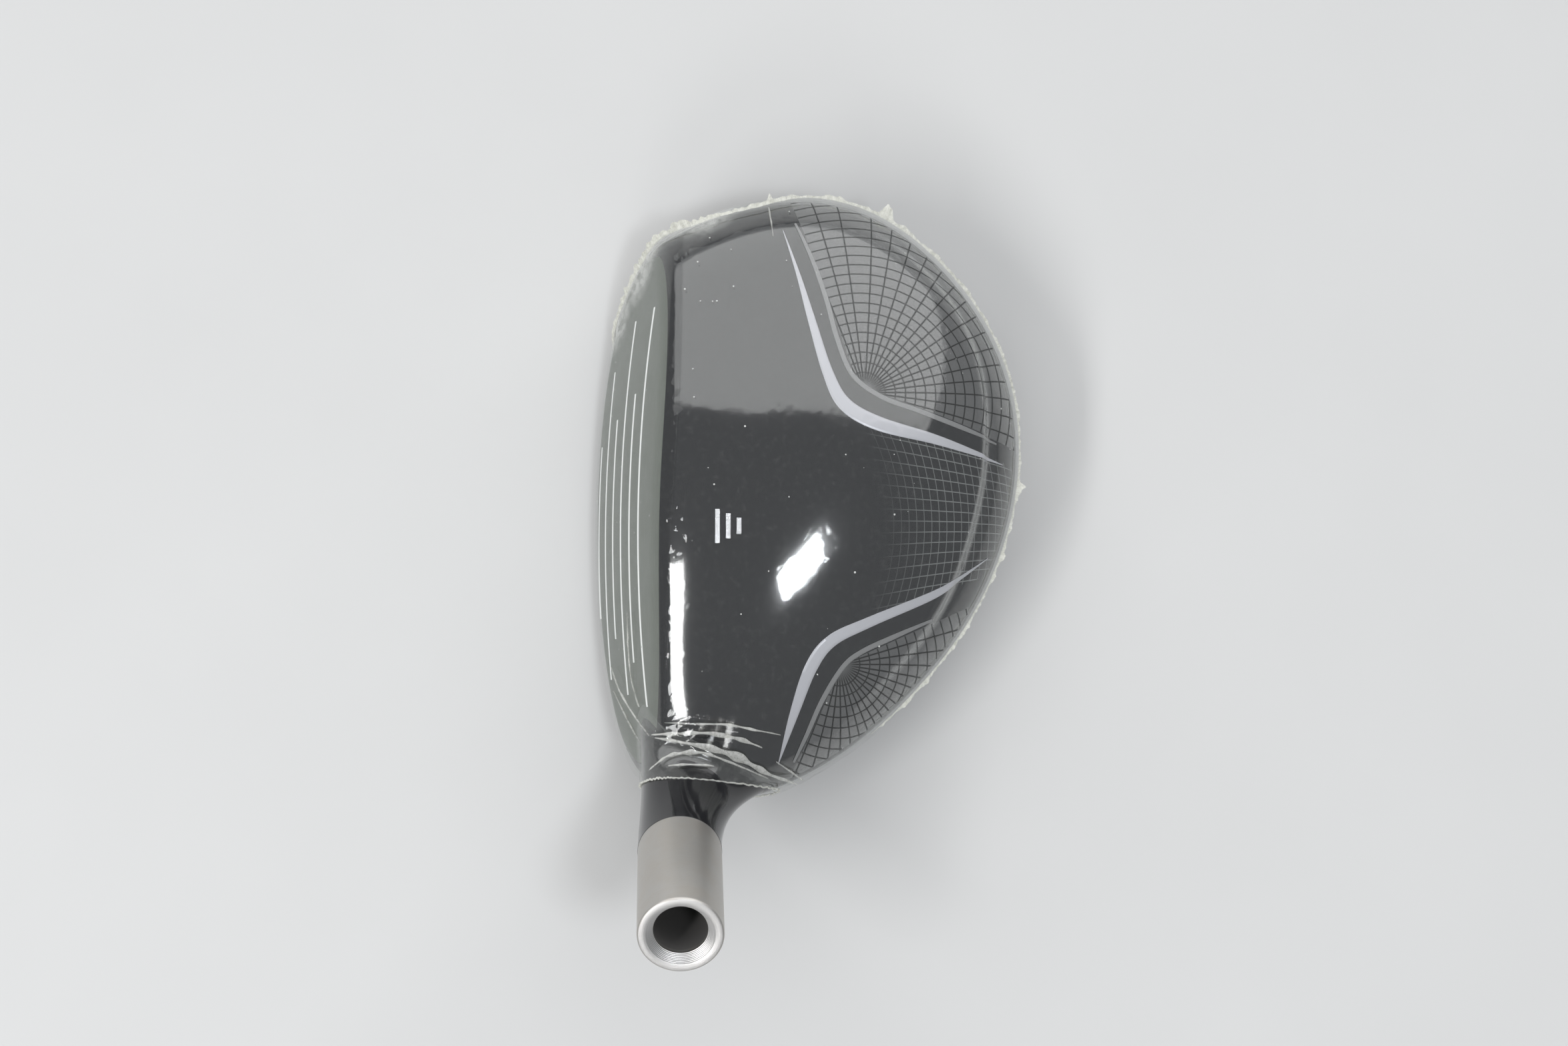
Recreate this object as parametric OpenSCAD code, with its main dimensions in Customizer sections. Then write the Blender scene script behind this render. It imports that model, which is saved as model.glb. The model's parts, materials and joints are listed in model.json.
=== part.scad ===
// Fairway wood head, right hand, in its clear shrink film.
// Millimetres. +Z up, sole on z = 0, +X toe to heel, -Y is the side the face looks.
// Every free surface is one closed form: an elliptic crown over a plan outline, a
// superelliptic sole under it, and a sphere that cuts the face, blended together.

/* [Head] */
// Highest point of the crown above the ground
crown_top = 37.9; // [34:0.1:42]
// Height of the widest part of the head
waist_z = 17.2; // [14:0.1:20]
// Loft of the face, degrees
loft = 19.5; // [13:0.5:27]
// How far the face is turned open, degrees
face_open = 0.5; // [-3:0.5:3]
// Bulge and roll radius of the face
bulge_r = 254; // [200:1:330]
// Blend at the top line and the leading edge
edge_blend = 1.6; // [0.5:0.1:5]
// Depth of the step that runs round the back of the crown, as a share of its height
crease = 0.17; // [0:0.01:0.3]

/* [Walls] */
// Crown sheet
crown_wall = 0.8; // [0.6:0.05:1.2]
// Sole and skirt
body_wall = 1.8; // [1.2:0.1:3]
// Face plate
face_wall = 2.4; // [1.8:0.1:3.2]

/* [Hosel] */
// Lie angle
lie = 59; // [55:0.5:63]
// Outside diameter of the bare tube
tube_d = 13.6; // [12:0.1:14.5]
// Bare tube, paint edge to mouth
tube_bare = 23.9; // [15:0.1:30]
// Whole tube, mouth to the end inside the neck
tube_len = 34.5; // [32:0.5:45]
// Shaft bore, for a parallel tip of 8.5
bore_d = 8.6; // [8.4:0.05:9.5]
// Depth of the shaft bore
bore_depth = 31; // [25:0.5:34]
// Width of the chamfer in the mouth
mouth_chamfer = 1.05; // [0.5:0.05:1.5]

/* [Film] */
// Gap between the metal and the film
film_gap = 0.15; // [0.05:0.05:0.3]
// Thickness the film is drawn at
film_wall = 0.25; // [0.1:0.05:0.4]

/* [Detail] */
// Columns round the head
cols = 80; // [40:4:96]

/* [Hidden] */

shift = [-12.65, -4.25, 0];      // plan centre of the outline to the middle of the whole part
sole_z = 0.4;                    // metal sole, above the film it stands on
Hc = crown_top - waist_z;
Hs = waist_z - 0.25;
SC = 20;                         // turns the body function into millimetres, nearly
// Plan outline: radius every 15 degrees, anticlockwise from the heel
RIM = [48.8, 43.9, 39.9, 38.0, 37.4, 37.7, 39.0, 41.0, 43.5, 45.8, 48.4, 51.1,
       50.9, 48.9, 47.7, 45.1, 40.8, 37.5, 36.2, 37.0, 40.2, 45.6, 52.8, 55.0];
face_c = [4, -27.6, 18];
face_n = [-sin(face_open)*cos(loft), -cos(face_open)*cos(loft), sin(loft)];
face_s = face_c - bulge_r*face_n;
ax = [cos(lie), 0, sin(lie)];    // hosel axis, outward
neck_p = [59.7, -17.6, 37.5];    // hosel axis at the paint edge
mouth_p = neck_p + tube_bare*ax;

function ss(a, b, x) = let (t = max(0, min(1, (x - a)/(b - a)))) t*t*(3 - 2*t);
function wrap(c, i) = c[((i % len(c)) + len(c)) % len(c)];
function bs(t) = [pow(1 - t, 3), 3*t*t*t - 6*t*t + 4, -3*t*t*t + 3*t*t + 3*t + 1, t*t*t]/6;
function rim(a) = let (u = ((a % 360) + 360) % 360*len(RIM)/360, i = floor(u), b = bs(u - i))
  wrap(RIM, i - 1)*b[0] + wrap(RIM, i)*b[1] + wrap(RIM, i + 1)*b[2] + wrap(RIM, i + 2)*b[3];
function norm_a(a) = ((a % 360) + 360) % 360;
function sole_n(a) = 2.7 + 1.4*pow((1 - sin(a))/2, 2);
function crease_a(a) = crease*ss(12, 42, a)*(1 - ss(140, 172, a));
function crease_d(a) = 5.6 + 1.6*ss(40, 90, a) - 2.9*ss(100, 145, a);
// one column of the body: [rim radius, sole exponent, step size, step place, step width]
function col(a0) = let (a = norm_a(a0), R = rim(a))
  [R, sole_n(a), crease_a(a), 1 - crease_d(a)/R, 1.5/R];
function he(c, s) = Hc*(1 - c[2]*ss(c[3], c[3] + c[4], s));
function body_f(c, r, z) = let (s = r/c[0], d = z - waist_z) d >= 0
  ? SC*(sqrt(s*s + pow(d/he(c, s), 2)) - 1)
  : SC*(pow(pow(s, c[1]) + pow(-d/Hs, c[1]), 1/c[1]) - 1);
function smax(p, q, k) = let (h = max(k - abs(p - q), 0)/k) max(p, q) + h*h*k/4;
function head_f(c, a, r, z) = smax(body_f(c, r, z),
  norm([r*cos(a), r*sin(a), z] - face_s) - bulge_r, edge_blend);
function seek(c, a, e, lev, lo, hi, n) = let (m = (lo + hi)/2)
  n == 0 ? m : head_f(c, a, m*cos(e), waist_z + m*sin(e)) > lev
  ? seek(c, a, e, lev, lo, m, n - 1) : seek(c, a, e, lev, m, hi, n - 1);
// point of the surface at level lev, seen from the middle of the head
function skin(c, a, e, lev, floor_z = -99) = let (m = seek(c, a, e, lev, 8, 64, 17),
  z = waist_z + m*sin(e)) [m*cos(e)*cos(a), m*cos(e)*sin(a), max(z, floor_z)];
// height of the crown at level lev over a plan point
function crown_z(x, y, lev) = let (a = atan2(y, x), c = col(a), s = norm([x, y])/c[0])
  waist_z + he(c, s)*sqrt(max(0, pow(1 + lev/SC, 2) - s*s));
// the joint between crown and body: just behind the top line, and near the rim elsewhere
function joint_r(a) = let (R = rim(a)*0.985, s = max(0.001, -sin(a)),
  f = (18.6 + 0.03*R*cos(a))/s) min(R, f) - 0.35*exp(-abs(R - f)/3);
function joint_e(c, a) = let (r = joint_r(a)) atan2(he(c, r/c[0])*sqrt(1 - pow(r/c[0], 2)), r);
// elevation of the leading edge, where the sphere of the face gives way to the sole
function on_face_side(c, a, e) = let (m = seek(c, a, e, 0, 8, 64, 12), r = m*cos(e), z = waist_z + m*sin(e))
  norm([r*cos(a), r*sin(a), z] - face_s) - bulge_r > body_f(c, r, z);
function lead_seek(c, a, lo, hi, n) = let (m = (lo + hi)/2) n == 0 ? m :
  on_face_side(c, a, m) ? lead_seek(c, a, lo, m, n - 1) : lead_seek(c, a, m, hi, n - 1);
toe_corner = 216;               // plan angles where the face runs out
heel_corner = 328;
function low_e(c, a) = a > toe_corner && a < heel_corner ? lead_seek(c, a, -60, -2, 8)
  : let (d = min(abs(a - toe_corner), abs(a - heel_corner), abs(a + 360 - heel_corner)),
     k = a <= toe_corner && a > 120 ? toe_corner : heel_corner)
    lead_seek(col(k), k, -60, -2, 8)*(1 - ss(0, 40, d)) - 20*ss(0, 40, d);

ANG = [for (i = [0:cols - 1]) i*360/cols];
// a closed shell swept round the head between two elevations, both walls and the rims
module shell_up(lev_o, lev_i, e_frac, zo = -99, zi = -99) {
  rows = [for (t = e_frac) t];
  nr = len(rows);
  C = [for (a = ANG) col(a)];
  J = [for (i = [0:cols - 1]) joint_e(C[i], ANG[i])];
  pts = concat(
    [for (t = rows, i = [0:cols - 1]) skin(C[i], ANG[i], J[i] + (90 - J[i])*t, lev_o)],
    [for (t = rows, i = [0:cols - 1]) skin(C[i], ANG[i], J[i] + (90 - J[i])*t, lev_i)],
    [skin(col(0), 0, 90, lev_o), skin(col(0), 0, 90, lev_i)]);
  polyhedron(pts, lid_faces(nr, cols));
}
// rows run from the joint to the pole; pole points come last
function lid_faces(nr, n) = let (m = nr*n, po = 2*m, pi_ = 2*m + 1) concat(
  [for (j = [0:nr - 2], i = [0:n - 1]) let (k = (i + 1) % n) each
    [[j*n + i, (j + 1)*n + i, (j + 1)*n + k], [j*n + i, (j + 1)*n + k, j*n + k]]],
  [for (j = [0:nr - 2], i = [0:n - 1]) let (k = (i + 1) % n) each
    [[m + j*n + i, m + (j + 1)*n + k, m + (j + 1)*n + i], [m + j*n + i, m + j*n + k, m + (j + 1)*n + k]]],
  [for (i = [0:n - 1]) let (k = (i + 1) % n) [(nr - 1)*n + i, po, (nr - 1)*n + k]],
  [for (i = [0:n - 1]) let (k = (i + 1) % n) [m + (nr - 1)*n + i, m + (nr - 1)*n + k, pi_]],
  [for (i = [0:n - 1]) let (k = (i + 1) % n) each [[i, k, m + k], [i, m + k, m + i]]]);
// elevations of the rows below the joint: closer together at the top line and leading edge
function down(j, q, t) = t <= 1 ? j + (q - j)*t : q + (-90 - q)*(t - 1);
ROWS = [0, 0.035, 0.075, 0.13, 0.2, 0.34, 0.55, 0.78, 0.9, 0.965, 1, 1.02, 1.06, 1.13, 1.26, 1.42, 1.62, 1.84];
module shell_down(lev_o, lev_i, lev_i0, zo, zi) {
  rows = ROWS;
  nr = len(rows);
  C = [for (a = ANG) col(a)];
  J = [for (i = [0:cols - 1]) joint_e(C[i], ANG[i])];
  Q = [for (i = [0:cols - 1]) low_e(C[i], ANG[i])];
  pts = concat(
    [for (t = rows, i = [0:cols - 1]) skin(C[i], ANG[i], down(J[i], Q[i], t), lev_o, zo)],
    [for (t = rows, i = [0:cols - 1]) skin(C[i], ANG[i], down(J[i], Q[i], t),
      lev_i0 + (lev_i - lev_i0)*ss(0, 0.25, t), zi)],
    [[0, 0, max(zo, waist_z - Hs*(1 + lev_o/SC))], [0, 0, max(zi, waist_z - Hs*(1 + lev_i/SC))]]);
  polyhedron(pts, [for (f = lid_faces(nr, cols)) [f[2], f[1], f[0]]]);
}

// neck: a blend from the paint edge of the tube down on to the head
e1 = [sin(lie), 0, -cos(lie)];
e2 = [0, 1, 0];
neck_root = neck_p - 22*ax;
function foot_r(g) = 13 - 3.2*cos(g) + 3.0*sin(g);
function foot(g, d) = let (p = neck_root + (foot_r(g) - d)*(cos(g)*e1 + sin(g)*e2),
  a = atan2(p[1], p[0]), e = atan2(p[2] - waist_z, norm([p[0], p[1]]))) [a, e];
function bez(p, t) = p[0]*pow(1 - t, 3) + 3*p[1]*t*pow(1 - t, 2) + 3*p[2]*t*t*(1 - t) + p[3]*t*t*t;
function neck_curve(g, grow) = let (
  p0 = neck_p + (tube_d/2 + grow)*(cos(g)*e1 + sin(g)*e2),
  q0 = foot(g, 0), q1 = foot(g, 3),
  f0 = skin(col(q0[0]), q0[0], q0[1], -0.12 + grow), f1 = skin(col(q1[0]), q1[0], q1[1], grow),
  t = (f1 - f0)/norm(f1 - f0), L = norm(f0 - p0))
  [p0, p0 - 0.42*L*ax, f0 + 0.3*L*t, f0];
module neck(grow = 0, up = 0) {
  n = 44; m = 9;
  G = [for (i = [0:n - 1]) neck_curve(i*360/n, grow)];
  pts = concat(up > 0 ? [for (g = G) g[0] + up*ax] : [],
    [for (j = [0:m], i = [0:n - 1]) bez(G[i], pow(j/m, 1))],
    [neck_p + up*ax, neck_root - 2*ax + [-4, 1.5, -2]]);
  rn = m + 1 + (up > 0 ? 1 : 0);
  polyhedron(pts, concat(
    [for (i = [0:n - 1]) let (k = (i + 1) % n) [rn*n, k, i]],
    [for (j = [0:rn - 2], i = [0:n - 1]) let (k = (i + 1) % n) each
      [[j*n + i, (j + 1)*n + k, (j + 1)*n + i], [j*n + i, j*n + k, (j + 1)*n + k]]],
    [for (i = [0:n - 1]) let (k = (i + 1) % n) [rn*n + 1, (rn - 1)*n + i, (rn - 1)*n + k]]));
}
module on_hosel(d) { // z = 0 at the mouth, running down the bore
  translate(mouth_p - d*ax) rotate([0, 90 - lie, 0]) children();
}

// face frame: x toe to heel across the face, y up the face, z out of it
module on_face() translate(face_c) rotate([0, 0, -face_open]) rotate([90 - loft, 0, 0]) children();
PLATE = [[-39, -5], [-36, -9.2], [-30, -11.8], [-20, -13.4], [-8, -13.9], [4, -13.6], [16, -12.7],
  [26, -11.2], [33, -8.4], [36.5, -4], [37, 2], [35, 8], [30.5, 11.2], [23, 13.6], [12, 15.2],
  [-2, 15.9], [-14, 16], [-26, 14.6], [-34, 12], [-39, 7.2], [-40.6, 1]];
module face_outline(d) offset(delta = d) polygon(PLATE);
module face_slab(d, a, b) intersection() {
  on_face() translate([0, 0, -12]) linear_extrude(20) face_outline(d);
  difference() {
    translate(face_s) sphere(bulge_r - a, $fn = 360);
    translate(face_s) sphere(bulge_r - b, $fn = 360);
  }
}
// score lines: [height up the face, toe end, heel end]
LINES = [[-12.6, -13.5, 16.4], [-8.6, -26.2, 27], [-4.4, -17.4, 20.2],
         [-0.2, -34, 29.8], [4.1, -20.9, 24.5], [8.4, -35.2, 32]];
module score_cut(w, grow) on_face() for (l = LINES)
  translate([l[1] - grow, l[0] - w/2, -3]) cube([l[2] - l[1] + 2*grow, w, 6]);

// a ribbon painted on the crown along a plan line, P = [x, y, width]
function cat(P, u) = let (n = len(P), i = min(n - 2, floor(u)), t = u - i,
  a = P[max(0, i - 1)], b = P[i], c = P[i + 1], d = P[min(n - 1, i + 2)])
  0.5*(2*b + (c - a)*t + (2*a - 5*b + 4*c - d)*t*t + (3*b - a - 3*c + d)*t*t*t);
module ribbon(P, lev0, lev1, per = 5) {
  n = (len(P) - 1)*per;
  st = [for (i = [0:n]) cat(P, i/per)];
  pts = [for (i = [0:n]) let (p = st[i], a = st[max(0, i - 1)], b = st[min(n, i + 1)],
    t = [b[0] - a[0], b[1] - a[1]]/norm([b[0] - a[0], b[1] - a[1]]), w = max(0.06, p[2])/2,
    l = [p[0] - t[1]*w, p[1] + t[0]*w], r = [p[0] + t[1]*w, p[1] - t[0]*w]) each
    [[l[0], l[1], crown_z(l[0], l[1], lev0)], [r[0], r[1], crown_z(r[0], r[1], lev0)],
     [r[0], r[1], crown_z(r[0], r[1], lev1)], [l[0], l[1], crown_z(l[0], l[1], lev1)]]];
  polyhedron(pts, concat([[3, 2, 1, 0]], [[4*n, 4*n + 1, 4*n + 2, 4*n + 3]],
    [for (i = [0:n - 1], k = [0:3]) let (q = (k + 1) % 4) each
      [[4*i + k, 4*i + q, 4*i + 4 + q], [4*i + k, 4*i + 4 + q, 4*i + 4 + k]]]));
}
TOE = [[-43.9, -0.5, 0.1], [-35.5, 1.9, 0.7], [-27.8, 3.9, 1.3], [-18.7, 6.5, 1.8], [-13.4, 9.3, 2.3],
       [-10.3, 14.8, 2.4], [-8.1, 24.0, 1.7], [-6.4, 30.5, 1.0], [-4.8, 36.8, 0.1]];
HEEL = [[10.9, 34.3, 0.1], [14.5, 29.2, 0.6], [17.6, 24.3, 1.3], [22.3, 13.4, 1.7], [25.4, 7.2, 2.0],
        [29.7, 3.9, 2.1], [37.3, 1.2, 1.5], [45.5, -1.2, 0.1]];
TOE2 = [[-45.3, 1.6, 0.35], [-38.6, 4.2, 0.7], [-31.5, 6.4, 0.8], [-24.6, 8.1, 0.8], [-18.4, 10.6, 0.8],
        [-14.8, 15.4, 0.8], [-12.6, 21.9, 0.8], [-10.3, 29.0, 0.8], [-8.2, 35.6, 0.3]];
HEEL2 = [[21.6, 24.4, 0.4], [24.6, 17.6, 0.8], [27.1, 12.3, 0.8], [29.6, 9.2, 0.8], [35.0, 5.9, 0.8],
         [40.8, 3.4, 0.7], [45.2, 1.4, 0.35]];

BLACK = [0.03, 0.03, 0.035];
STEEL = [0.62, 0.61, 0.58];
weight_c = [-1, 17];

module body_casting() color(BLACK) translate(shift) resize([0, 0, 0]) difference() {
  union() {
    difference() {
      union() {
        shell_down(0, -body_wall, -crown_wall, sole_z, sole_z + 1.4);
        neck();
        translate([weight_c[0], weight_c[1], 0]) intersection() {
          translate([0, 0, 1.4]) cylinder(r = 8, h = 10, $fn = 40);
          translate([-weight_c[0], -weight_c[1], 0]) lump(-0.4, 0);
        }
      }
      on_hosel(tube_len + 0.05) cylinder(r = tube_d/2 - 1.15, h = 30, $fn = 48);
      on_hosel(tube_bare + 0.25) cylinder(r = tube_d/2 + 3, h = 10, $fn = 24);
    }
  }
  on_face() translate([0, 0, -4]) linear_extrude(12) face_outline(0);
  translate([weight_c[0], weight_c[1], -1]) cylinder(r = 6, h = 7.85, $fn = 40);
  translate([weight_c[0], weight_c[1], -1]) cylinder(r = 3, h = 11, $fn = 24);
  badge_prism(0.05, -1, 1.05);
}
module crown_shell() color(BLACK) translate(shift) resize([0, 0, 0]) difference() {
  shell_up(0, -crown_wall, [0, 0.05, 0.11, 0.18, 0.26, 0.35, 0.46, 0.59, 0.73, 0.88]);
  neck(0.02);
}
module crown_weld() color(STEEL) translate(shift) resize([0, 0, 0]) difference() {
  C = [for (a = ANG) col(a)];
  pts = [for (i = [0:cols - 1]) let (a = ANG[i], j = joint_e(C[i], a)) each
    [skin(C[i], a, j + 0.2, -0.9), skin(C[i], a, j + 2.6, -0.9), skin(C[i], a, j + 1.6, -1.7), skin(C[i], a, j + 0.4, -1.7)]];
  polyhedron(pts, [for (i = [0:cols - 1], k = [0:3]) let (n = (i + 1) % cols, q = (k + 1) % 4) each
    [[4*i + k, 4*i + q, 4*n + q], [4*i + k, 4*n + q, 4*n + k]]]);
  neck(0.1);
}
module face_plate() color(STEEL) translate(shift) difference() {
  face_slab(-0.03, 0, face_wall);
  intersection() {
    score_cut(0.8, 0);
    difference() {
      translate(face_s) sphere(bulge_r + 1, $fn = 360);
      translate(face_s) sphere(bulge_r - 0.35, $fn = 360);
    }
  }
}
module score_lines() color([0.9, 0.9, 0.88]) translate(shift) intersection() {
  score_cut(0.78, -0.01);
  difference() {
    translate(face_s) sphere(bulge_r - 0.04, $fn = 360);
    translate(face_s) sphere(bulge_r - 0.34, $fn = 360);
  }
}
module face_weld() color(STEEL) translate(shift) difference() {
  face_slab(0.7, face_wall + 0.04, face_wall + 0.8);
  on_face() translate([0, 0, -12]) linear_extrude(20) face_outline(-0.8);
}
module hosel_tube() color(STEEL) translate(shift) on_hosel(0) difference() {
  union() {
    translate([0, 0, -tube_bare]) cylinder(r = tube_d/2, h = tube_bare, $fn = 96);
    translate([0, 0, -tube_len]) cylinder(r = tube_d/2 - 1.2, h = tube_len, $fn = 96);
  }
  translate([0, 0, -bore_depth]) cylinder(r = bore_d/2, h = bore_depth + 1, $fn = 96);
  translate([0, 0, -tube_len - 1]) cylinder(r = 3.2, h = 10, $fn = 64);
  translate([0, 0, -1.55]) cylinder(r1 = bore_d/2, r2 = bore_d/2 + mouth_chamfer, h = 1.55, $fn = 96);
  difference() {
    translate([0, 0, -0.3]) cylinder(r = 9, h = 1, $fn = 96);
    translate([0, 0, -0.301]) cylinder(r1 = tube_d/2, r2 = tube_d/2 - 0.3, h = 0.302, $fn = 96);
  }
}
module hosel_plug() color([0.75, 0.72, 0.6]) translate(shift) on_hosel(0)
  translate([0, 0, -tube_len + 0.1]) cylinder(r = 3.15, h = 3.3, $fn = 48);
module braze_ring() color([0.7, 0.6, 0.35]) translate(shift) on_hosel(0)
  translate([0, 0, -tube_bare - 0.23]) difference() {
    cylinder(r = tube_d/2 - 0.04, h = 0.21, $fn = 96);
    translate([0, 0, -1]) cylinder(r = tube_d/2 - 1.17, h = 3, $fn = 96);
  }
module badge_prism(d, a, b) translate([-2, -8, a]) linear_extrude(b - a)
  offset(delta = d) polygon([[-15, -3.2], [-12.4, -5.6], [13.2, -5.6], [16, -2.6], [12.2, 5.2], [-11.4, 5.2]]);
module sole_badge() color(STEEL) translate(shift) difference() {
  badge_prism(0, 0.42, 1.02);
  for (k = [-1:1]) translate([-3 + k*7.5, -12.6, 0]) cube([1.2, 8.4, 0.62]);
}
module weight_slug() color([0.55, 0.55, 0.57]) translate(shift) translate([weight_c[0], weight_c[1], 2.35]) difference() {
  union() {
    cylinder(r = 5.9, h = 3.8, $fn = 64);
    cylinder(r = 2.9, h = 7.3, $fn = 48);
  }
  translate([0, 0, -1]) cylinder(r = 2.3, h = 3.6, $fn = 6);
  for (k = [0:2]) rotate([0, 0, 120*k + 30]) translate([4.2, 0, -1]) cylinder(r = 0.5, h = 1.5, $fn = 24);
}
module weight_washer() color([0.1, 0.1, 0.1]) translate(shift) translate([weight_c[0], weight_c[1], 6.2]) difference() {
  cylinder(r = 5.9, h = 0.6, $fn = 64);
  translate([0, 0, -1]) cylinder(r = 3.0, h = 3, $fn = 48);
}
// pieces on the inside of the sole are trimmed to the room inside
module toe_pad() color([0.4, 0.4, 0.42]) translate(shift) resize([0, 0, 0]) intersection() {
  lump(-body_wall - 0.03, sole_z + 1.42);
  translate([-36, 8, 0]) rotate([0, 0, 25]) cube([9, 26, 2*7], center = true);
}
module sole_ribs() color(STEEL) translate(shift) resize([0, 0, 0]) intersection() {
  lump(-body_wall - 0.03, sole_z + 1.42);
  union() {
    translate([-12, -16, 0]) cube([1.4, 28, 4.4]);
    translate([12, -16, 0]) cube([1.4, 34, 4.4]);
    translate([-12, 6, 0]) cube([25, 1.4, 4.0]);
  }
}
module hot_melt() color([0.85, 0.75, 0.45]) translate(shift) resize([0, 0, 0]) intersection() {
  lump(-body_wall - 0.03, sole_z + 1.42);
  translate([28, 6, 1.2]) scale([12, 8, 4.4]) sphere(1, $fn = 28);
}
module alignment_bars() color([0.72, 0.73, 0.75]) translate(shift) for (k = [0:2]) {
  w = 0.75; L = 5.6 - 1.5*k; y = -11.6 + 1.75*k; z = crown_z(6.8, y, 0) - 0.02;
  translate([6.8 - L/2, y - w/2, z]) linear_extrude(0.14) square([L, w]);
}
module toe_stripe() color([0.78, 0.79, 0.8]) translate(shift) ribbon(TOE, 0.015, 0.1);
module heel_stripe() color([0.78, 0.79, 0.8]) translate(shift) ribbon(HEEL, 0.015, 0.1);
module toe_outline() color([0.35, 0.36, 0.37]) translate(shift) ribbon(TOE2, 0.015, 0.09);
module heel_outline() color([0.35, 0.36, 0.37]) translate(shift) ribbon(HEEL2, 0.015, 0.09);

// the film stops short at the neck, and never runs into it
module film_end() translate([50, -60, 18]) rotate([0, -9, 0]) translate([0, 0, -60]) cube([80, 120, 200]);
module film_keep() difference() {
  children();
  neck(0.14);
  film_end();
}
// everything inside one level, as one solid lump
module lump(lev, zi) {
  E = [-84, -70, -55, -42, -32, -25, -20, -15, -9, -3, 3, 9, 15, 21, 27, 33, 42, 55, 70];
  C = [for (a = ANG) col(a)];
  n = cols; m = len(E);
  pts = concat([for (e = E, i = [0:n - 1]) skin(C[i], ANG[i], e, lev, zi)],
    [[0, 0, max(zi, waist_z - Hs*(1 + lev/SC))], [0, 0, waist_z + Hc*(1 + lev/SC)]]);
  polyhedron(pts, ball_faces(n, m));
}
function ball_faces(n, m) = concat(
  [for (i = [0:n - 1]) let (k = (i + 1) % n) [m*n, i, k]],
  [for (j = [0:m - 2], i = [0:n - 1]) let (k = (i + 1) % n) each
    [[j*n + i, (j + 1)*n + i, (j + 1)*n + k], [j*n + i, (j + 1)*n + k, j*n + k]]],
  [for (i = [0:n - 1]) let (k = (i + 1) % n) [m*n + 1, (m - 1)*n + k, (m - 1)*n + i]]);
module film_upper() color([0.9, 0.95, 1, 0.25]) translate(shift) resize([0, 0, 0]) film_keep()
  shell_up(film_gap + film_wall, film_gap, [0, 0.05, 0.11, 0.18, 0.26, 0.35, 0.46, 0.59, 0.73, 0.88]);
module film_lower() color([0.9, 0.95, 1, 0.25]) translate(shift) resize([0, 0, 0]) film_keep()
  shell_down(film_gap + film_wall, film_gap, film_gap, 0, 0.2);
module film_seam() color([0.95, 0.95, 0.95, 0.6]) translate(shift) {
  A = [for (a = [22:4:214]) a];
  n = len(A) - 1;
  pts = [for (a = A) let (c = col(a), j = joint_e(c, a) - 1) each
    [skin(c, a, j - 0.4, film_gap + film_wall + 0.03), skin(c, a, j + 0.4, film_gap + film_wall + 0.03),
     skin(c, a, j + 0.15, film_gap + film_wall + 0.45), skin(c, a, j - 0.15, film_gap + film_wall + 0.45)]];
  polyhedron(pts, concat([[3, 2, 1, 0]], [[4*n, 4*n + 1, 4*n + 2, 4*n + 3]],
    [for (i = [0:n - 1], k = [0:3]) let (q = (k + 1) % 4) each
      [[4*i + k, 4*i + q, 4*i + 4 + q], [4*i + k, 4*i + 4 + q, 4*i + 4 + k]]]));
}
module film_collar() color([0.9, 0.95, 1, 0.25]) translate(shift) resize([0, 0, 0]) difference() {
  neck(film_gap + film_wall);
  neck(film_gap);
  lump(film_gap + film_wall + 0.01, -9);
  film_end();
}

body_casting();
crown_shell();
crown_weld();
face_plate();
face_weld();
score_lines();
hosel_tube();
hosel_plug();
braze_ring();
sole_badge();
weight_slug();
weight_washer();
toe_pad();
sole_ribs();
hot_melt();
alignment_bars();
toe_stripe();
heel_stripe();
toe_outline();
heel_outline();
film_upper();
film_lower();
film_seam();
film_collar();
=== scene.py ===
import json
import bpy
import bmesh
import numpy as np
from mathutils import Matrix, Vector

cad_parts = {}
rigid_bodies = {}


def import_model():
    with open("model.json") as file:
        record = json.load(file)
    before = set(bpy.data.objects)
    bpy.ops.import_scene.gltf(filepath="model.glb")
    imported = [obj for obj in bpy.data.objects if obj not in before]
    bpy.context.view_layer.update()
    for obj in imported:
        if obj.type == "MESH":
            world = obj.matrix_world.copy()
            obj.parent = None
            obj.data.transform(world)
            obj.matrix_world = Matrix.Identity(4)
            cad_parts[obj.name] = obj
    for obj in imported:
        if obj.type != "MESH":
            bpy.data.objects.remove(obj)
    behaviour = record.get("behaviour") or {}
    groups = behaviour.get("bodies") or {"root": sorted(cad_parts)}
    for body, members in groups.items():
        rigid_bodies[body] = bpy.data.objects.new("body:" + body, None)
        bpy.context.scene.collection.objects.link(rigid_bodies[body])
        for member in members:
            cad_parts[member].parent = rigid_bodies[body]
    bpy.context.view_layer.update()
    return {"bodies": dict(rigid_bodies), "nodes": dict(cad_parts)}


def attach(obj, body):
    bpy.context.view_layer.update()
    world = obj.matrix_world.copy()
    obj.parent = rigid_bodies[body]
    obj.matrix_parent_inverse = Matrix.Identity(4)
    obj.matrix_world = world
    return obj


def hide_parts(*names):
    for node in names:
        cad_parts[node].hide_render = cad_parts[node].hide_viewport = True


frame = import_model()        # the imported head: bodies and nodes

BODY = sorted(frame["bodies"])[0]
NODE = frame["nodes"]
RNG = np.random.default_rng(7)

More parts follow.
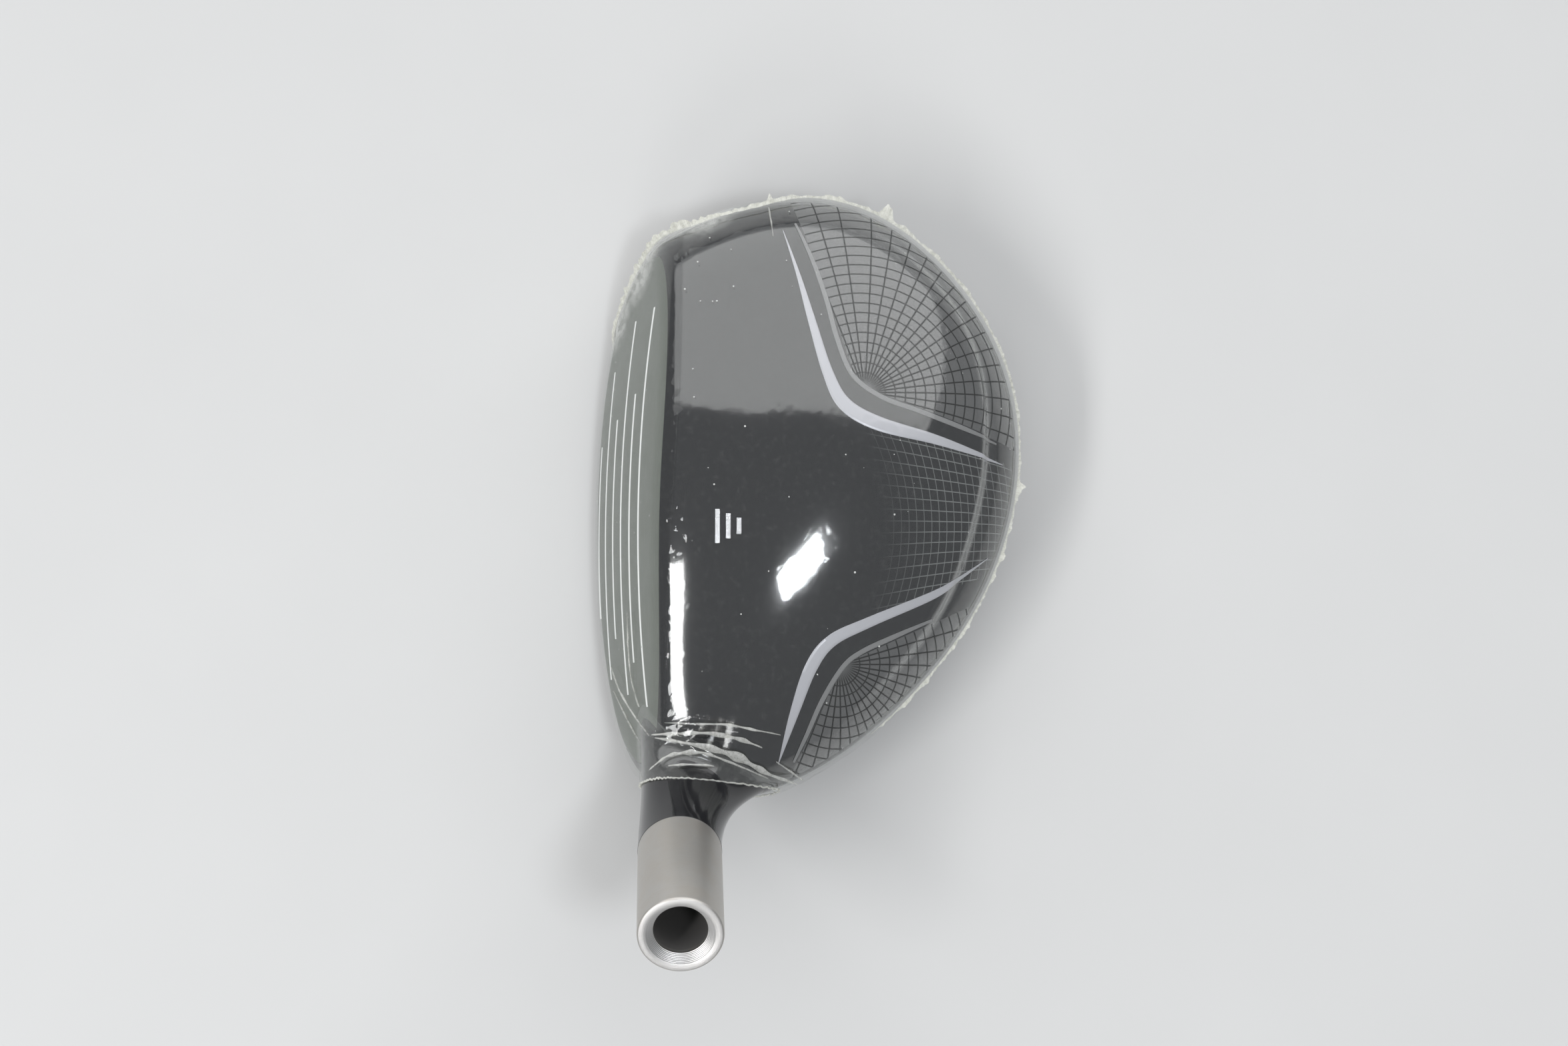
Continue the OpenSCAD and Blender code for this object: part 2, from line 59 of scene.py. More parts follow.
# ---------------------------------------------------------------- the shape of the head
# Millimetres about the plan centre of the head: +X toe to heel, -Y the way the face looks.
SHIFT = np.array([-12.65, -4.25, 0.0])
WAIST, TOP, LOFT, OPEN, BULGE, BLEND, CREASE = 17.2, 37.9, 19.5, 0.5, 254.0, 1.6, 0.17
HC, HS, SC = TOP - WAIST, WAIST - 0.25, 20.0
SOLE_Z = 0.4
RIM = np.array([48.8, 43.9, 39.9, 38.0, 37.4, 37.7, 39.0, 41.0, 43.5, 45.8, 48.4, 51.1,
                50.9, 48.9, 47.7, 45.1, 40.8, 37.5, 36.2, 37.0, 40.2, 45.6, 52.8, 55.0])
rad, deg = np.radians, np.degrees
FC = np.array([4.0, -27.6, 18.0])
FN = np.array([-np.sin(rad(OPEN)) * np.cos(rad(LOFT)), -np.cos(rad(OPEN)) * np.cos(rad(LOFT)),
               np.sin(rad(LOFT))])
FX = np.array([np.cos(rad(OPEN)), -np.sin(rad(OPEN)), 0.0])
FY = np.cross(FN, FX)
FS = FC - BULGE * FN
LIE = 59.0
AX = np.array([np.cos(rad(LIE)), 0.0, np.sin(rad(LIE))])
E1 = np.array([np.sin(rad(LIE)), 0.0, -np.cos(rad(LIE))])
E2 = np.array([0.0, 1.0, 0.0])
NECK_P = np.array([59.7, -17.6, 37.5])
TUBE_R, TUBE_BARE, TUBE_LEN, BORE_R, BORE_DEPTH = 6.8, 23.9, 34.5, 4.3, 31.0
MOUTH = NECK_P + TUBE_BARE * AX
NECK_ROOT = NECK_P - 22 * AX
GAP, FILM = 0.15, 0.25                      # between metal and film, and the film itself
CROWN_WALL, BODY_WALL, FACE_DEPTH = 0.8, 1.8, 1.6
GROOVE_HALF, GROOVE_DEPTH = 0.41, 0.38


def bisect(lo, hi, outside, steps):
    """Closes in on where a test turns from false, at lo, to true, at hi."""
    for _ in range(steps):
        m = (lo + hi) / 2
        out = outside(m)
        hi, lo = np.where(out, m, hi), np.where(out, lo, m)
    return lo, hi


def ss(a, b, x):
    t = np.clip((np.asarray(x, float) - a) / (b - a), 0, 1)
    return t * t * (3 - 2 * t)


def rim(a):
    u = np.mod(a, 360.0) * len(RIM) / 360
    i = np.floor(u).astype(int)
    t = u - i
    b = [(1 - t) ** 3, 3 * t ** 3 - 6 * t * t + 4, -3 * t ** 3 + 3 * t * t + 3 * t + 1, t ** 3]
    return sum(RIM[(i + k - 1) % len(RIM)] * b[k] for k in range(4)) / 6


def col(a):
    a = np.mod(a, 360.0)
    R = rim(a)
    n = 2.7 + 1.4 * ((1 - np.sin(rad(a))) / 2) ** 2
    ca = CREASE * ss(12, 42, a) * (1 - ss(140, 172, a))
    cd = 5.6 + 1.6 * ss(40, 90, a) - 2.9 * ss(100, 145, a)
    return R, n, ca, 1 - cd / R, 1.5 / R


def he(c, s):
    return HC * (1 - c[2] * ss(0, 1, (s - c[3]) / c[4]))


def body_f(c, r, z):
    s = r / c[0]
    d = z - WAIST
    dn = np.maximum(-d, 0)
    up = SC * (np.sqrt(s * s + (d / he(c, s)) ** 2) - 1)
    lo = SC * ((np.maximum(s, 1e-9) ** c[1] + (dn / HS) ** c[1]) ** (1 / c[1]) - 1)
    return np.where(d >= 0, up, lo)


def face_f(a, r, z):
    x, y = r * np.cos(rad(a)), r * np.sin(rad(a))
    return np.sqrt((x - FS[0]) ** 2 + (y - FS[1]) ** 2 + (z - FS[2]) ** 2) - BULGE


def head_f(c, a, r, z):
    p, q = body_f(c, r, z), face_f(a, r, z)
    h = np.maximum(BLEND - abs(p - q), 0) / BLEND
    return np.maximum(p, q) + h * h * BLEND / 4


def f_at(p):
    a = deg(np.arctan2(p[..., 1], p[..., 0])) % 360
    return head_f(col(a), a, np.hypot(p[..., 0], p[..., 1]), p[..., 2])


def seek(a, e, lev):
    """Distance of the surface from the middle of the head, in a direction."""
    c = col(a)
    shape = np.broadcast(a, e).shape
    ce, se = np.cos(rad(e)), np.sin(rad(e))
    lo, hi = bisect(np.full(shape, 6.0), np.full(shape, 68.0),
                    lambda m: head_f(c, a, m * ce, WAIST + m * se) > lev, 24)
    return (lo + hi) / 2


def skin(a, e, lev, zmin=-99.0):
    """Points of the surface at a level, seen from the middle of the head."""
    a, e, lev = np.broadcast_arrays(np.asarray(a, float), np.asarray(e, float), np.asarray(lev, float))
    m = seek(a, e, lev)
    r, z = m * np.cos(rad(e)), np.maximum(WAIST + m * np.sin(rad(e)), zmin)
    return np.stack([r * np.cos(rad(a)), r * np.sin(rad(a)), z], -1)


def crown_z(x, y, lev):
    a = deg(np.arctan2(y, x)) % 360
    c = col(a)
    s = np.hypot(x, y) / c[0]
    return WAIST + he(c, s) * np.sqrt(np.maximum(0, (1 + lev / SC) ** 2 - s * s))


def joint_r(a):
    R = rim(a) * 0.985
    f = (18.6 + 0.03 * R * np.cos(rad(a))) / np.maximum(0.001, -np.sin(rad(a)))
    return np.minimum(R, f) - 0.35 * np.exp(-abs(R - f) / 3)


def crown_e(a, r):
    c = col(a)
    return deg(np.arctan2(he(c, r / c[0]) * np.sqrt(np.maximum(0, 1 - (r / c[0]) ** 2)), r))


# plan angles of the columns, closer together where the face runs out
COLS = np.unique(np.round(np.concatenate(
    [np.arange(0, 360, 0.75), np.arange(205, 225, 0.3), np.arange(318, 342, 0.3)]), 3))
NC = len(COLS)
JE = crown_e(COLS, joint_r(COLS))


def face_wins(a, e):
    m = seek(a, e, np.zeros(np.broadcast(a, e).shape))
    r, z = m * np.cos(rad(e)), WAIST + m * np.sin(rad(e))
    return face_f(a, r, z) - body_f(col(a), r, z)


def face_edges():
    """Elevations of the top line and of the leading edge, column by column."""
    s = np.linspace(0, 1, 241)[:, None]
    E = JE + (-80 - JE) * s
    g = face_wins(np.broadcast_to(COLS, E.shape), E)
    g[:, (COLS < 200) & (COLS > 0)] = -1
    g[:, COLS > 345] = -1
    front = (g > 0).any(0)
    first, last = (g > 0).argmax(0), len(s) - 1 - (g[::-1] > 0).argmax(0)
    T, Q = np.full(NC, -20.0), np.full(NC, -20.0)
    cc = np.arange(NC)
    for out, inn, res in ((np.maximum(first - 1, 0), first, T), (np.minimum(last + 1, len(s) - 1), last, Q)):
        a, b = bisect(E[out, cc], E[inn, cc], lambda m: face_wins(COLS, m) > 0, 14)
        res[front] = ((a + b) / 2)[front]
    f = np.flatnonzero(front)
    for k, away in ((f[0], -1), (f[-1], 1)):
        mid = (T[k] + Q[k]) / 2
        d = np.mod(away * (COLS - COLS[k]), 360)
        m = ~front & (d < 180)
        blend = mid * (1 - ss(0, 40, d)) - 20 * ss(0, 40, d)
        T[m], Q[m] = blend[m], blend[m]
    return T, Q, front


TE, QE, FRONT = face_edges()


def around(g):
    """Unit vectors across the hosel axis, at angles about it."""
    return np.cos(rad(g))[:, None] * E1 + np.sin(rad(g))[:, None] * E2


def foot_r(g):
    return 13 - 3.2 * np.cos(rad(g)) + 3.0 * np.sin(rad(g))


def foot(g, d):
    """Directions, from the middle of the head, of where the neck's blend comes down."""
    p = NECK_ROOT + (foot_r(g) - d)[:, None] * around(g)
    flat = np.hypot(p[:, 0], p[:, 1])
    return deg(np.arctan2(p[:, 1], p[:, 0])) % 360, deg(np.arctan2(p[:, 2] - WAIST, flat))


def neck_rows(g, grow, m):
    """Rows of the blend from the paint edge of the tube down on to the head."""
    p0 = NECK_P + (TUBE_R + grow) * around(g)
    f0 = skin(*foot(g, 0), -0.12 + grow)
    f1 = skin(*foot(g, 3), grow)
    t = f1 - f0
    t /= np.linalg.norm(t, axis=1)[:, None]
    L = np.linalg.norm(f0 - p0, axis=1)[:, None]
    P = [p0, p0 - 0.42 * L * AX, f0 + 0.3 * L * t, f0]
    u = np.linspace(0, 1, m)[:, None, None]
    return P[0] * (1 - u) ** 3 + 3 * P[1] * u * (1 - u) ** 2 + 3 * P[2] * u * u * (1 - u) + P[3] * u ** 3


# ---------------------------------------------------------------- mesh helpers
class Solid:
    """Vertices and faces gathered before they become one piece."""

    def __init__(self):
        self.v, self.f, self.n = [], [], 0

    def add(self, pts):
        pts = np.asarray(pts, float).reshape(-1, 3)
        self.v.append(pts)
        self.n += len(pts)
        return np.arange(self.n - len(pts), self.n)

    def grid(self, pts, closed=True):
        idx = self.add(pts).reshape(pts.shape[:2])
        self.rows(idx, closed)
        return idx

    def rows(self, idx, closed=True):
        for a, b in zip(idx[:-1], idx[1:]):
            self.band(a, b, closed)

    def band(self, a, b, closed=True, keep=None):
        k = np.roll(np.arange(len(a)), -1)
        q = np.stack([a, a[k], b[k], b], 1)
        if not closed:
            q = q[:-1]
        if keep is not None:
            q = q[keep[:len(q)]]
        self.f += q.tolist()

    def fan(self, ring, p):
        c = int(self.add([p])[0])
        k = np.roll(ring, -1)
        self.f += [[int(a), int(b), c] for a, b in zip(ring, k)]

    def bar(self, rows):
        """Lines of points round a bar, each running along it; both ends are capped."""
        idx = self.grid(np.array(rows).transpose(1, 0, 2))
        self.f += [idx[0].tolist(), idx[-1][::-1].tolist()]


def piece(name, solid, mat, slot, nodes=(), sharp=38.0, merge=1e-7):
    me = bpy.data.meshes.new(name)
    v = (np.concatenate(solid.v) + SHIFT) / 1000
    me.from_pydata(v.tolist(), [], solid.f)
    bm = bmesh.new()
    bm.from_mesh(me)
    if merge:
        bmesh.ops.remove_doubles(bm, verts=bm.verts, dist=merge)
    bmesh.ops.dissolve_degenerate(bm, edges=bm.edges, dist=1e-8)
    bmesh.ops.recalc_face_normals(bm, faces=bm.faces)
    bm.to_mesh(me)
    bm.free()
    me.shade_smooth()
    me.set_sharp_from_angle(angle=rad(sharp))
    ob = bpy.data.objects.new(name, me)
    bpy.context.scene.collection.objects.link(ob)
    ob.data.materials.append(mat)
    if slot:
        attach(ob, BODY)
    if nodes:
        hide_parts(*nodes)
    return ob


def cut(ob, solids, sharp=38.0):
    """Takes closed solids away from a piece."""
    tools = []
    for s in solids:
        t = piece("tool", s, ob.data.materials[0], None)
        m = ob.modifiers.new("cut", "BOOLEAN")
        m.operation, m.object, m.solver = "DIFFERENCE", t, "MANIFOLD"
        tools.append(t)
    me = bpy.data.meshes.new_from_object(ob.evaluated_get(bpy.context.evaluated_depsgraph_get()))
    ob.modifiers.clear()
    old, ob.data = ob.data, me
    me.name = ob.name
    bpy.data.meshes.remove(old)
    for t in tools:
        bpy.data.meshes.remove(t.data)
    me.shade_smooth()
    me.set_sharp_from_angle(angle=rad(sharp))


def prism(poly, z0, z1):
    s = Solid()
    a = s.add(np.column_stack([poly, np.full(len(poly), z0)]))
    b = s.add(np.column_stack([poly, np.full(len(poly), z1)]))
    s.band(a, b)
    s.f += [a[::-1].tolist(), b.tolist()]
    return s


def lathe(profile, origin, axis, n=96, closed=True):
    """Turns (radius, distance) pairs about an axis; distance runs along it."""
    s = Solid()
    axis = np.asarray(axis, float)
    u = np.cross(axis, [0.0, 1.0, 0.0])
    u = u / np.linalg.norm(u)
    w = np.cross(axis, u)
    t = np.linspace(0, 2 * np.pi, n, endpoint=False)[:, None]
    rows = [np.asarray(origin) + d * axis + r * (np.cos(t) * u + np.sin(t) * w) for r, d in profile]
    idx = s.add(np.array(rows)).reshape(len(profile), n)
    s.rows(idx)
    if closed:
        s.band(idx[-1], idx[0])
    return s


def poly_dist(P, line):
    """Distance from points to a polyline, and how far along it the nearest point is (0 to 1)."""
    line = np.asarray(line, float)
    best, where = np.full(P.shape[:-1], 1e9), np.zeros(P.shape[:-1])
    n = len(line) - 1
    for k in range(n):
        a, d = line[k], line[k + 1] - line[k]
        t = np.clip(((P - a) @ d) / (d @ d), 0, 1)
        q = np.linalg.norm(P - a - t[..., None] * d, axis=-1)
        hit = q < best
        best, where = np.where(hit, q, best), np.where(hit, (k + t) / n, where)
    return best, where


def catmull(P, per):
    """A smooth line through points, with so many steps from each to the next."""
    P = np.asarray(P, float)
    u = np.linspace(0, len(P) - 1, (len(P) - 1) * per + 1)
    i = np.minimum(u.astype(int), len(P) - 2)
    t = (u - i)[:, None]
    a, b, c, d = P[np.maximum(i - 1, 0)], P[i], P[i + 1], P[np.minimum(i + 2, len(P) - 1)]
    return 0.5 * (2 * b + (c - a) * t + (2 * a - 5 * b + 4 * c - d) * t * t
                  + (3 * b - a - 3 * c + d) * t ** 3)


def waves(x, seed, count=5):
    """Smooth seeded noise along one coordinate, about -1 to 1."""
    g = np.random.default_rng(seed)
    return sum(np.sin(x * f + p) * w for f, p, w in
               zip(g.uniform(0.5, 3.0, count), g.uniform(0, 6.3, count), g.uniform(0.2, 0.5, count)))


# ---------------------------------------------------------------- materials
class Mat:
    """A small builder for node materials; positions are in millimetres about the head's plan centre."""

    def __init__(self, name):
        self.m = bpy.data.materials.new(name)
        self.m.use_nodes = True
        self.t = self.m.node_tree
        self.t.nodes.clear()
        self.out = self.t.nodes.new("ShaderNodeOutputMaterial")

    def node(self, kind, **kw):
        n = self.t.nodes.new("ShaderNode" + kind)
        for k, v in kw.items():
            setattr(n, k, v)
        return n

    def put(self, sock, v):
        if isinstance(v, bpy.types.NodeSocket):
            self.t.links.new(v, sock)
        else:
            sock.default_value = v

    def math(self, op, a, b=0.0, c=0.0, clamp=False):
        n = self.node("Math", operation=op, use_clamp=clamp)
        for s, v in zip(n.inputs, (a, b, c)):
            self.put(s, v)
        return n.outputs[0]

    def vmath(self, op, a, b=(0, 0, 0)):
        n = self.node("VectorMath", operation=op)
        self.put(n.inputs[0], a)
        self.put(n.inputs[1], b)
        return n.outputs["Value" if op in ("DOT_PRODUCT", "LENGTH", "DISTANCE") else "Vector"]

    def pos(self):
        p = self.node("TexCoord").outputs["Object"]
        n = self.node("VectorMath", operation="MULTIPLY_ADD")
        self.put(n.inputs[0], p)
        n.inputs[1].default_value = (1000, 1000, 1000)
        n.inputs[2].default_value = tuple(-SHIFT)
        return n.outputs[0]

    def xyz(self, v):
        n = self.node("SeparateXYZ")
        self.put(n.inputs[0], v)
        return n.outputs

    def noise(self, p, scale, detail=3.0, rough=0.55):
        n = self.node("TexNoise")
        self.put(n.inputs["Vector"], p)
        n.inputs["Scale"].default_value = scale
        n.inputs["Detail"].default_value = detail
        n.inputs["Roughness"].default_value = rough
        return n.outputs[0]

    def ramp(self, x, a, b, lo=0.0, hi=1.0, smooth=True):
        n = self.node("MapRange", interpolation_type="SMOOTHSTEP" if smooth else "LINEAR", clamp=True)
        for s, v in zip(n.inputs, (x, a, b, lo, hi)):
            self.put(s, v)
        return n.outputs[0]

    def mix(self, f, a, b):
        n = self.node("Mix", data_type="RGBA")
        self.put(n.inputs[0], f)
        self.put(n.inputs[6], a if isinstance(a, bpy.types.NodeSocket) else (*a, 1))
        self.put(n.inputs[7], b if isinstance(b, bpy.types.NodeSocket) else (*b, 1))
        return n.outputs[2]

    def lerp(self, f, a, b):
        n = self.node("Mix", data_type="FLOAT")
        self.put(n.inputs[0], f)
        self.put(n.inputs[2], a)
        self.put(n.inputs[3], b)
        return n.outputs[0]

    def bump(self, h, strength, dist):
        n = self.node("Bump")
        n.inputs["Strength"].default_value = strength
        n.inputs["Distance"].default_value = dist
        self.put(n.inputs["Height"], h)
        return n.outputs[0]

    def bsdf(self, link=True, **kw):
        n = self.node("BsdfPrincipled")
        for k, v in kw.items():
            s = n.inputs[k.replace("_", " ")]
            self.put(s, (*v, 1) if isinstance(v, tuple) and len(v) == 3 else v)
        if link:
            self.t.links.new(n.outputs[0], self.out.inputs[0])
        return n.outputs[0]

    def product(self, a, b):
        return self.math("MULTIPLY", a, b)

    def hypot(self, a, b):
        return self.math("SQRT", self.math("ADD", self.product(a, a), self.product(b, b)))

    def every(self, x, step, width, soft=0.03):
        """A line of a given width at every step of a coordinate."""
        f = self.math("PINGPONG", x, step / 2)
        return self.ramp(f, width / 2 - soft, width / 2 + soft, 1.0, 0.0)


# The two radial panels: focus, angle between spokes, and the two straight edges that meet near
# the focus. The first edge is (slope, offset, scale) of y over x; the second, of x over y, also
# says on which side the panel lies.
PANELS = (((-15.4, 12.6), 7.0, (0.314, 16.07, 0.954), ("ADD", -0.321, 19.63, 0.952)),
          ((29.2, 8.6), 8.0, (-0.441, 21.335, 0.915), ("SUBTRACT", -0.4545, 32.69, 0.910)))
RING_STEP, RING_WIDTH, CLEAR_R = 1.72, 0.24, 0.6
ARC_FOCUS, ARC_STEP, ARC_WIDTH = (7.0, -19.0), 1.30, 0.10
FAN_FOCUS, FAN_STEP = (4.0, 86.0), 1.6


def radial_panel(m, x, y, focus, spokes, edge1, edge2):
    """Spokes and rings about a focus, and the mask of the panel that they fill."""
    d1 = m.product(m.math("SUBTRACT", m.math("MULTIPLY_ADD", x, edge1[0], edge1[1]), y), edge1[2])
    d2 = m.product(m.math(edge2[0], m.math("MULTIPLY_ADD", y, edge2[1], edge2[2]), x), edge2[3])
    inside = m.ramp(m.math("SMOOTH_MAX", d1, d2, 2.2), -0.45, -0.6)
    dx, dy = m.math("SUBTRACT", x, focus[0]), m.math("SUBTRACT", y, focus[1])
    r = m.hypot(dx, dy)
    # spokes keep their width, so the angle is measured as an arc at this radius
    f = m.math("PINGPONG", m.math("ADD", m.math("ARCTAN2", dy, dx), 10.0), rad(spokes) / 2)
    spoke = m.ramp(m.product(f, r), 0.10, 0.17, 1.0, 0.0)
    lines = m.math("MAXIMUM", spoke, m.every(r, RING_STEP, RING_WIDTH))
    return m.product(m.product(lines, m.ramp(r, CLEAR_R, CLEAR_R + 2.5)), inside), inside


def pale_grid(m, x, y):
    """The pale grid between the two bright stripes, fading in towards the back."""
    r = m.hypot(m.math("SUBTRACT", x, ARC_FOCUS[0]), m.math("SUBTRACT", y, ARC_FOCUS[1]))
    arcs = m.every(r, ARC_STEP, ARC_WIDTH, 0.04)
    dx, dy = m.math("SUBTRACT", x, FAN_FOCUS[0]), m.math("SUBTRACT", FAN_FOCUS[1], y)
    f = m.math("PINGPONG", m.math("ADD", m.math("ARCTAN2", dx, dy), 10.0), rad(FAN_STEP) / 2)
    fan = m.ramp(m.product(f, m.hypot(dx, dy)), 0.04, 0.12, 1.0, 0.0)
    toe_side = m.math("SUBTRACT", x, m.math("MULTIPLY_ADD", y, 0.25, -14.6))
    heel_side = m.math("SUBTRACT", m.math("MULTIPLY_ADD", y, -0.37, 26.6), x)
    between = m.product(m.ramp(toe_side, 0.0, 0.3), m.ramp(heel_side, 0.0, 0.3))
    return m.product(m.math("MAXIMUM", arcs, fan), m.product(m.ramp(r, 33.0, 46.0), between))


def paint_black(name, grids):
    """Deep gloss black; on the crown, with the pin-line panels printed under the clear coat."""
    m = Mat(name)
    p = m.pos()
    fleck = m.noise(p, 9.0, 2.0)
    dust = m.ramp(m.noise(p, 2.2, 6.0, 0.7), 0.66, 0.74)
    base = m.mix(fleck, (0.006, 0.006, 0.007), (0.014, 0.014, 0.016))
    rough = m.lerp(dust, 0.10, 0.22)
    coat = 1.0 if grids else 0.25
    if grids:
        x, y = m.xyz(p)[:2]
        (dark1, in1), (dark2, in2) = [radial_panel(m, x, y, *q) for q in PANELS]
        line_dark, panel = m.math("MAXIMUM", dark1, dark2), m.math("MAXIMUM", in1, in2)
        grain = m.noise(p, 30.0, 2.0)
        base = m.mix(panel, base, m.mix(grain, (0.074, 0.074, 0.075), (0.098, 0.098, 0.099)))
        base = m.mix(line_dark, base, (0.002, 0.002, 0.002))
        base = m.mix(pale_grid(m, x, y), base, (0.150, 0.157, 0.155))
        rough = m.lerp(panel, rough, 0.2)
        rough = m.lerp(line_dark, rough, 0.8)
        coat = m.math("SUBTRACT", coat, line_dark, clamp=True)
    peel = m.noise(p, 0.35, 1.0)
    m.bsdf(Base_Color=base, Roughness=rough, Coat_Weight=coat, Coat_Roughness=0.045, Coat_IOR=1.5,
           Normal=m.bump(peel, 0.012, 0.0002))
    return m.m


def paint_flat(name, c0, c1, metal, rough, scale=14.0):
    """A printed or sprayed colour with a fine grain."""
    m = Mat(name)
    p = m.pos()
    g = m.noise(p, scale, 3.0)
    m.bsdf(Base_Color=m.mix(g, c0, c1), Metallic=metal,
           Roughness=m.lerp(m.noise(p, 1.3, 4.0), rough - 0.05, rough + 0.08),
           Normal=m.bump(g, 0.06, 0.00005))
    return m.m


def metal_blasted(name, c0, c1, rough, metal=1.0, bump=0.25, scale=11.0, streak=0.0):
    """Cast or blasted steel: a fine even pebble, faint stains and, on the face, faint streaks."""
    m = Mat(name)
    p = m.pos()
    fine = m.noise(p, scale, 4.0, 0.7)
    stain = m.noise(p, 0.16, 5.0)
    s = m.node("VectorMath", operation="MULTIPLY")
    m.put(s.inputs[0], p)
    s.inputs[1].default_value = (0.15, 4.0, 4.0)
    lines = m.noise(s.outputs[0], 1.2, 4.0, 0.6)
    tone = m.lerp(streak, m.lerp(0.5, fine, stain), lines)
    h = m.lerp(streak, fine, lines)
    m.bsdf(Base_Color=m.mix(m.ramp(tone, 0.3, 0.7), c0, c1), Metallic=metal,
           Roughness=m.lerp(m.ramp(stain, 0.35, 0.65), rough - 0.05, rough + 0.08),
           Normal=m.bump(h, bump, 0.0002))
    return m.m


def metal_turned(name):
    """Satin turned steel: rings along the hosel axis, a painted highlight on the flat rim and the chamfer at
    the top of the tube, and painted shade deep in the drilled hole, which is also rougher and less metallic
    there.
    """
    m = Mat(name)
    p = m.pos()
    q = m.vmath("SUBTRACT", p, tuple(MOUTH))
    d = m.math("MULTIPLY", m.vmath("DOT_PRODUCT", q, tuple(AX)), -1.0)      # depth below the mouth
    r2 = m.math("SUBTRACT", m.vmath("DOT_PRODUCT", q, q), m.math("MULTIPLY", d, d))
    r = m.math("SQRT", m.math("MAXIMUM", r2, 0.0))
    along = m.node("CombineXYZ")
    m.put(along.inputs[0], d)
    m.put(along.inputs[1], r)
    rings = m.noise(along.outputs[0], 7.0, 4.0, 0.75)
    fine = m.noise(p, 9.0, 4.0, 0.7)
    stain = m.ramp(m.noise(p, 0.22, 4.0), 0.35, 0.7)
    tone = m.mix(m.lerp(0.5, rings, fine), (0.44, 0.425, 0.40), (0.60, 0.585, 0.56))
    tone = m.mix(m.math("MULTIPLY", stain, 0.35), tone, (0.50, 0.455, 0.40))
    # painted highlight: the flat rim and the chamfer at the top of the tube are painted lighter
    mouth_highlight = m.ramp(d, 0.05, -0.02)
    chamfer_highlight = m.math("MULTIPLY", m.ramp(d, 1.8, 1.4), m.ramp(r, 5.5, 5.35))
    tone = m.mix(m.math("MAXIMUM", mouth_highlight, chamfer_highlight), tone, (0.62, 0.61, 0.60))
    # painted shade: the colour is darkened deep inside the drilled hole, which is also made rougher and less
    # metallic
    bore_shade = m.math("MULTIPLY", m.ramp(d, 1.5, 2.6), m.ramp(r, 5.0, 4.6))
    tone = m.mix(bore_shade, tone, (0.16, 0.155, 0.15))
    rough = m.lerp(bore_shade, m.lerp(rings, 0.34, 0.46), 0.6)
    m.bsdf(Base_Color=tone, Metallic=m.lerp(bore_shade, 1.0, 0.4), Roughness=rough,
           Normal=m.bump(m.lerp(0.35, rings, fine), 0.3, 0.00018))
    return m.m


def plastic(name, c0, c1, rough, scale=3.0):
    """Moulded plastic, rubber, paint fill or glue: a faint mottle and a fine grain."""
    m = Mat(name)
    p = m.pos()
    g = m.noise(p, scale, 4.0)
    m.bsdf(Base_Color=m.mix(g, c0, c1), Roughness=m.lerp(g, rough - 0.06, rough + 0.06),
           Normal=m.bump(m.noise(p, 12.0, 3.0), 0.1, 0.0001))
    return m.m


def film_clear(name, haze, milky=None):
    """Clear shrink film: see-through, with a sharp gloss, a trace of haze and fine crinkles."""
    m = Mat(name)
    p = m.pos()
    x, y, z = m.xyz(p)
    broad = m.noise(p, 0.22, 2.0)
    crink = m.noise(p, 0.7, 1.0, 0.5)
    # crinkled most along the top line and round the neck
    top = m.math("MULTIPLY", m.ramp(m.math("ABSOLUTE", m.math("ADD", y, 18.4)), 2.2, 0.5),
                 m.ramp(x, 10.0, -6.0, 0.35, 1.0))
    neck = m.math("MULTIPLY", m.ramp(x, 33.0, 40.0), m.ramp(z, 18.0, 24.0))
    where = m.math("MAXIMUM", m.math("MULTIPLY", top, 0.6), neck)
    h = m.math("ADD", m.product(broad, 0.25), m.product(crink, m.product(where, 0.2)))
    nrm = m.bump(h, 0.5, 0.0003)
    clear = m.node("BsdfTransparent")
    clear.inputs[0].default_value = (0.985, 0.988, 0.985, 1)
    shine = m.bsdf(False, Base_Color=(0.97, 0.98, 0.98), Metallic=1.0,
                   Roughness=m.lerp(m.noise(p, 0.25, 1.0), 0.05, 0.08), Normal=nrm)
    lw = m.node("LayerWeight")
    lw.inputs[0].default_value = 0.5
    m.put(lw.inputs[1], nrm)
    # the same on both faces of the film, rising to the edge
    gloss = m.math("MULTIPLY_ADD", m.math("POWER", lw.outputs["Facing"], 5.0), 0.34, 0.026)
    a = m.node("MixShader")
    m.put(a.inputs[0], gloss)
    m.put(a.inputs[1], clear.outputs[0])
    m.put(a.inputs[2], shine)
    white = m.bsdf(False, Base_Color=(0.80, 0.81, 0.78), Roughness=0.4, Normal=nrm)
    b = m.node("MixShader")
    scuff_and_glint = m.ramp(m.noise(p, 0.9, 6.0, 0.7), 0.5, 0.85, haze * 0.7, haze * 3.0)
    # specks under the film: dust, and painted glints standing for tiny bubbles
    vor = m.node("TexVoronoi")
    m.put(vor.inputs["Vector"], p)
    vor.inputs["Scale"].default_value = 0.42
    pick = m.node("SeparateColor")
    m.put(pick.inputs[0], vor.outputs["Color"])
    size = m.ramp(pick.outputs[0], 0.62, 1.0, 0.0, 0.075, smooth=False)
    dust_and_glint_speck = m.math("LESS_THAN", vor.outputs["Distance"], size)
    scuff_and_glint = m.math("MAXIMUM", scuff_and_glint, m.math("MULTIPLY", dust_and_glint_speck, 0.55))
    if milky is not None:
        dd = None
        for q, rr, amount in milky:
            k = m.math("MULTIPLY", m.ramp(m.vmath("DISTANCE", p, q), rr, rr * 0.35), amount)
            dd = k if dd is None else m.math("MAXIMUM", dd, k)
        scuff_and_glint = m.math("ADD", scuff_and_glint, m.math("MULTIPLY", dd, m.ramp(crink, 0.35, 0.6, 0.4, 1.0)), clamp=True)
    m.put(b.inputs[0], scuff_and_glint)
    m.put(b.inputs[1], a.outputs[0])
    m.put(b.inputs[2], white)
    m.t.links.new(b.outputs[0], m.out.inputs[0])
    return m.m


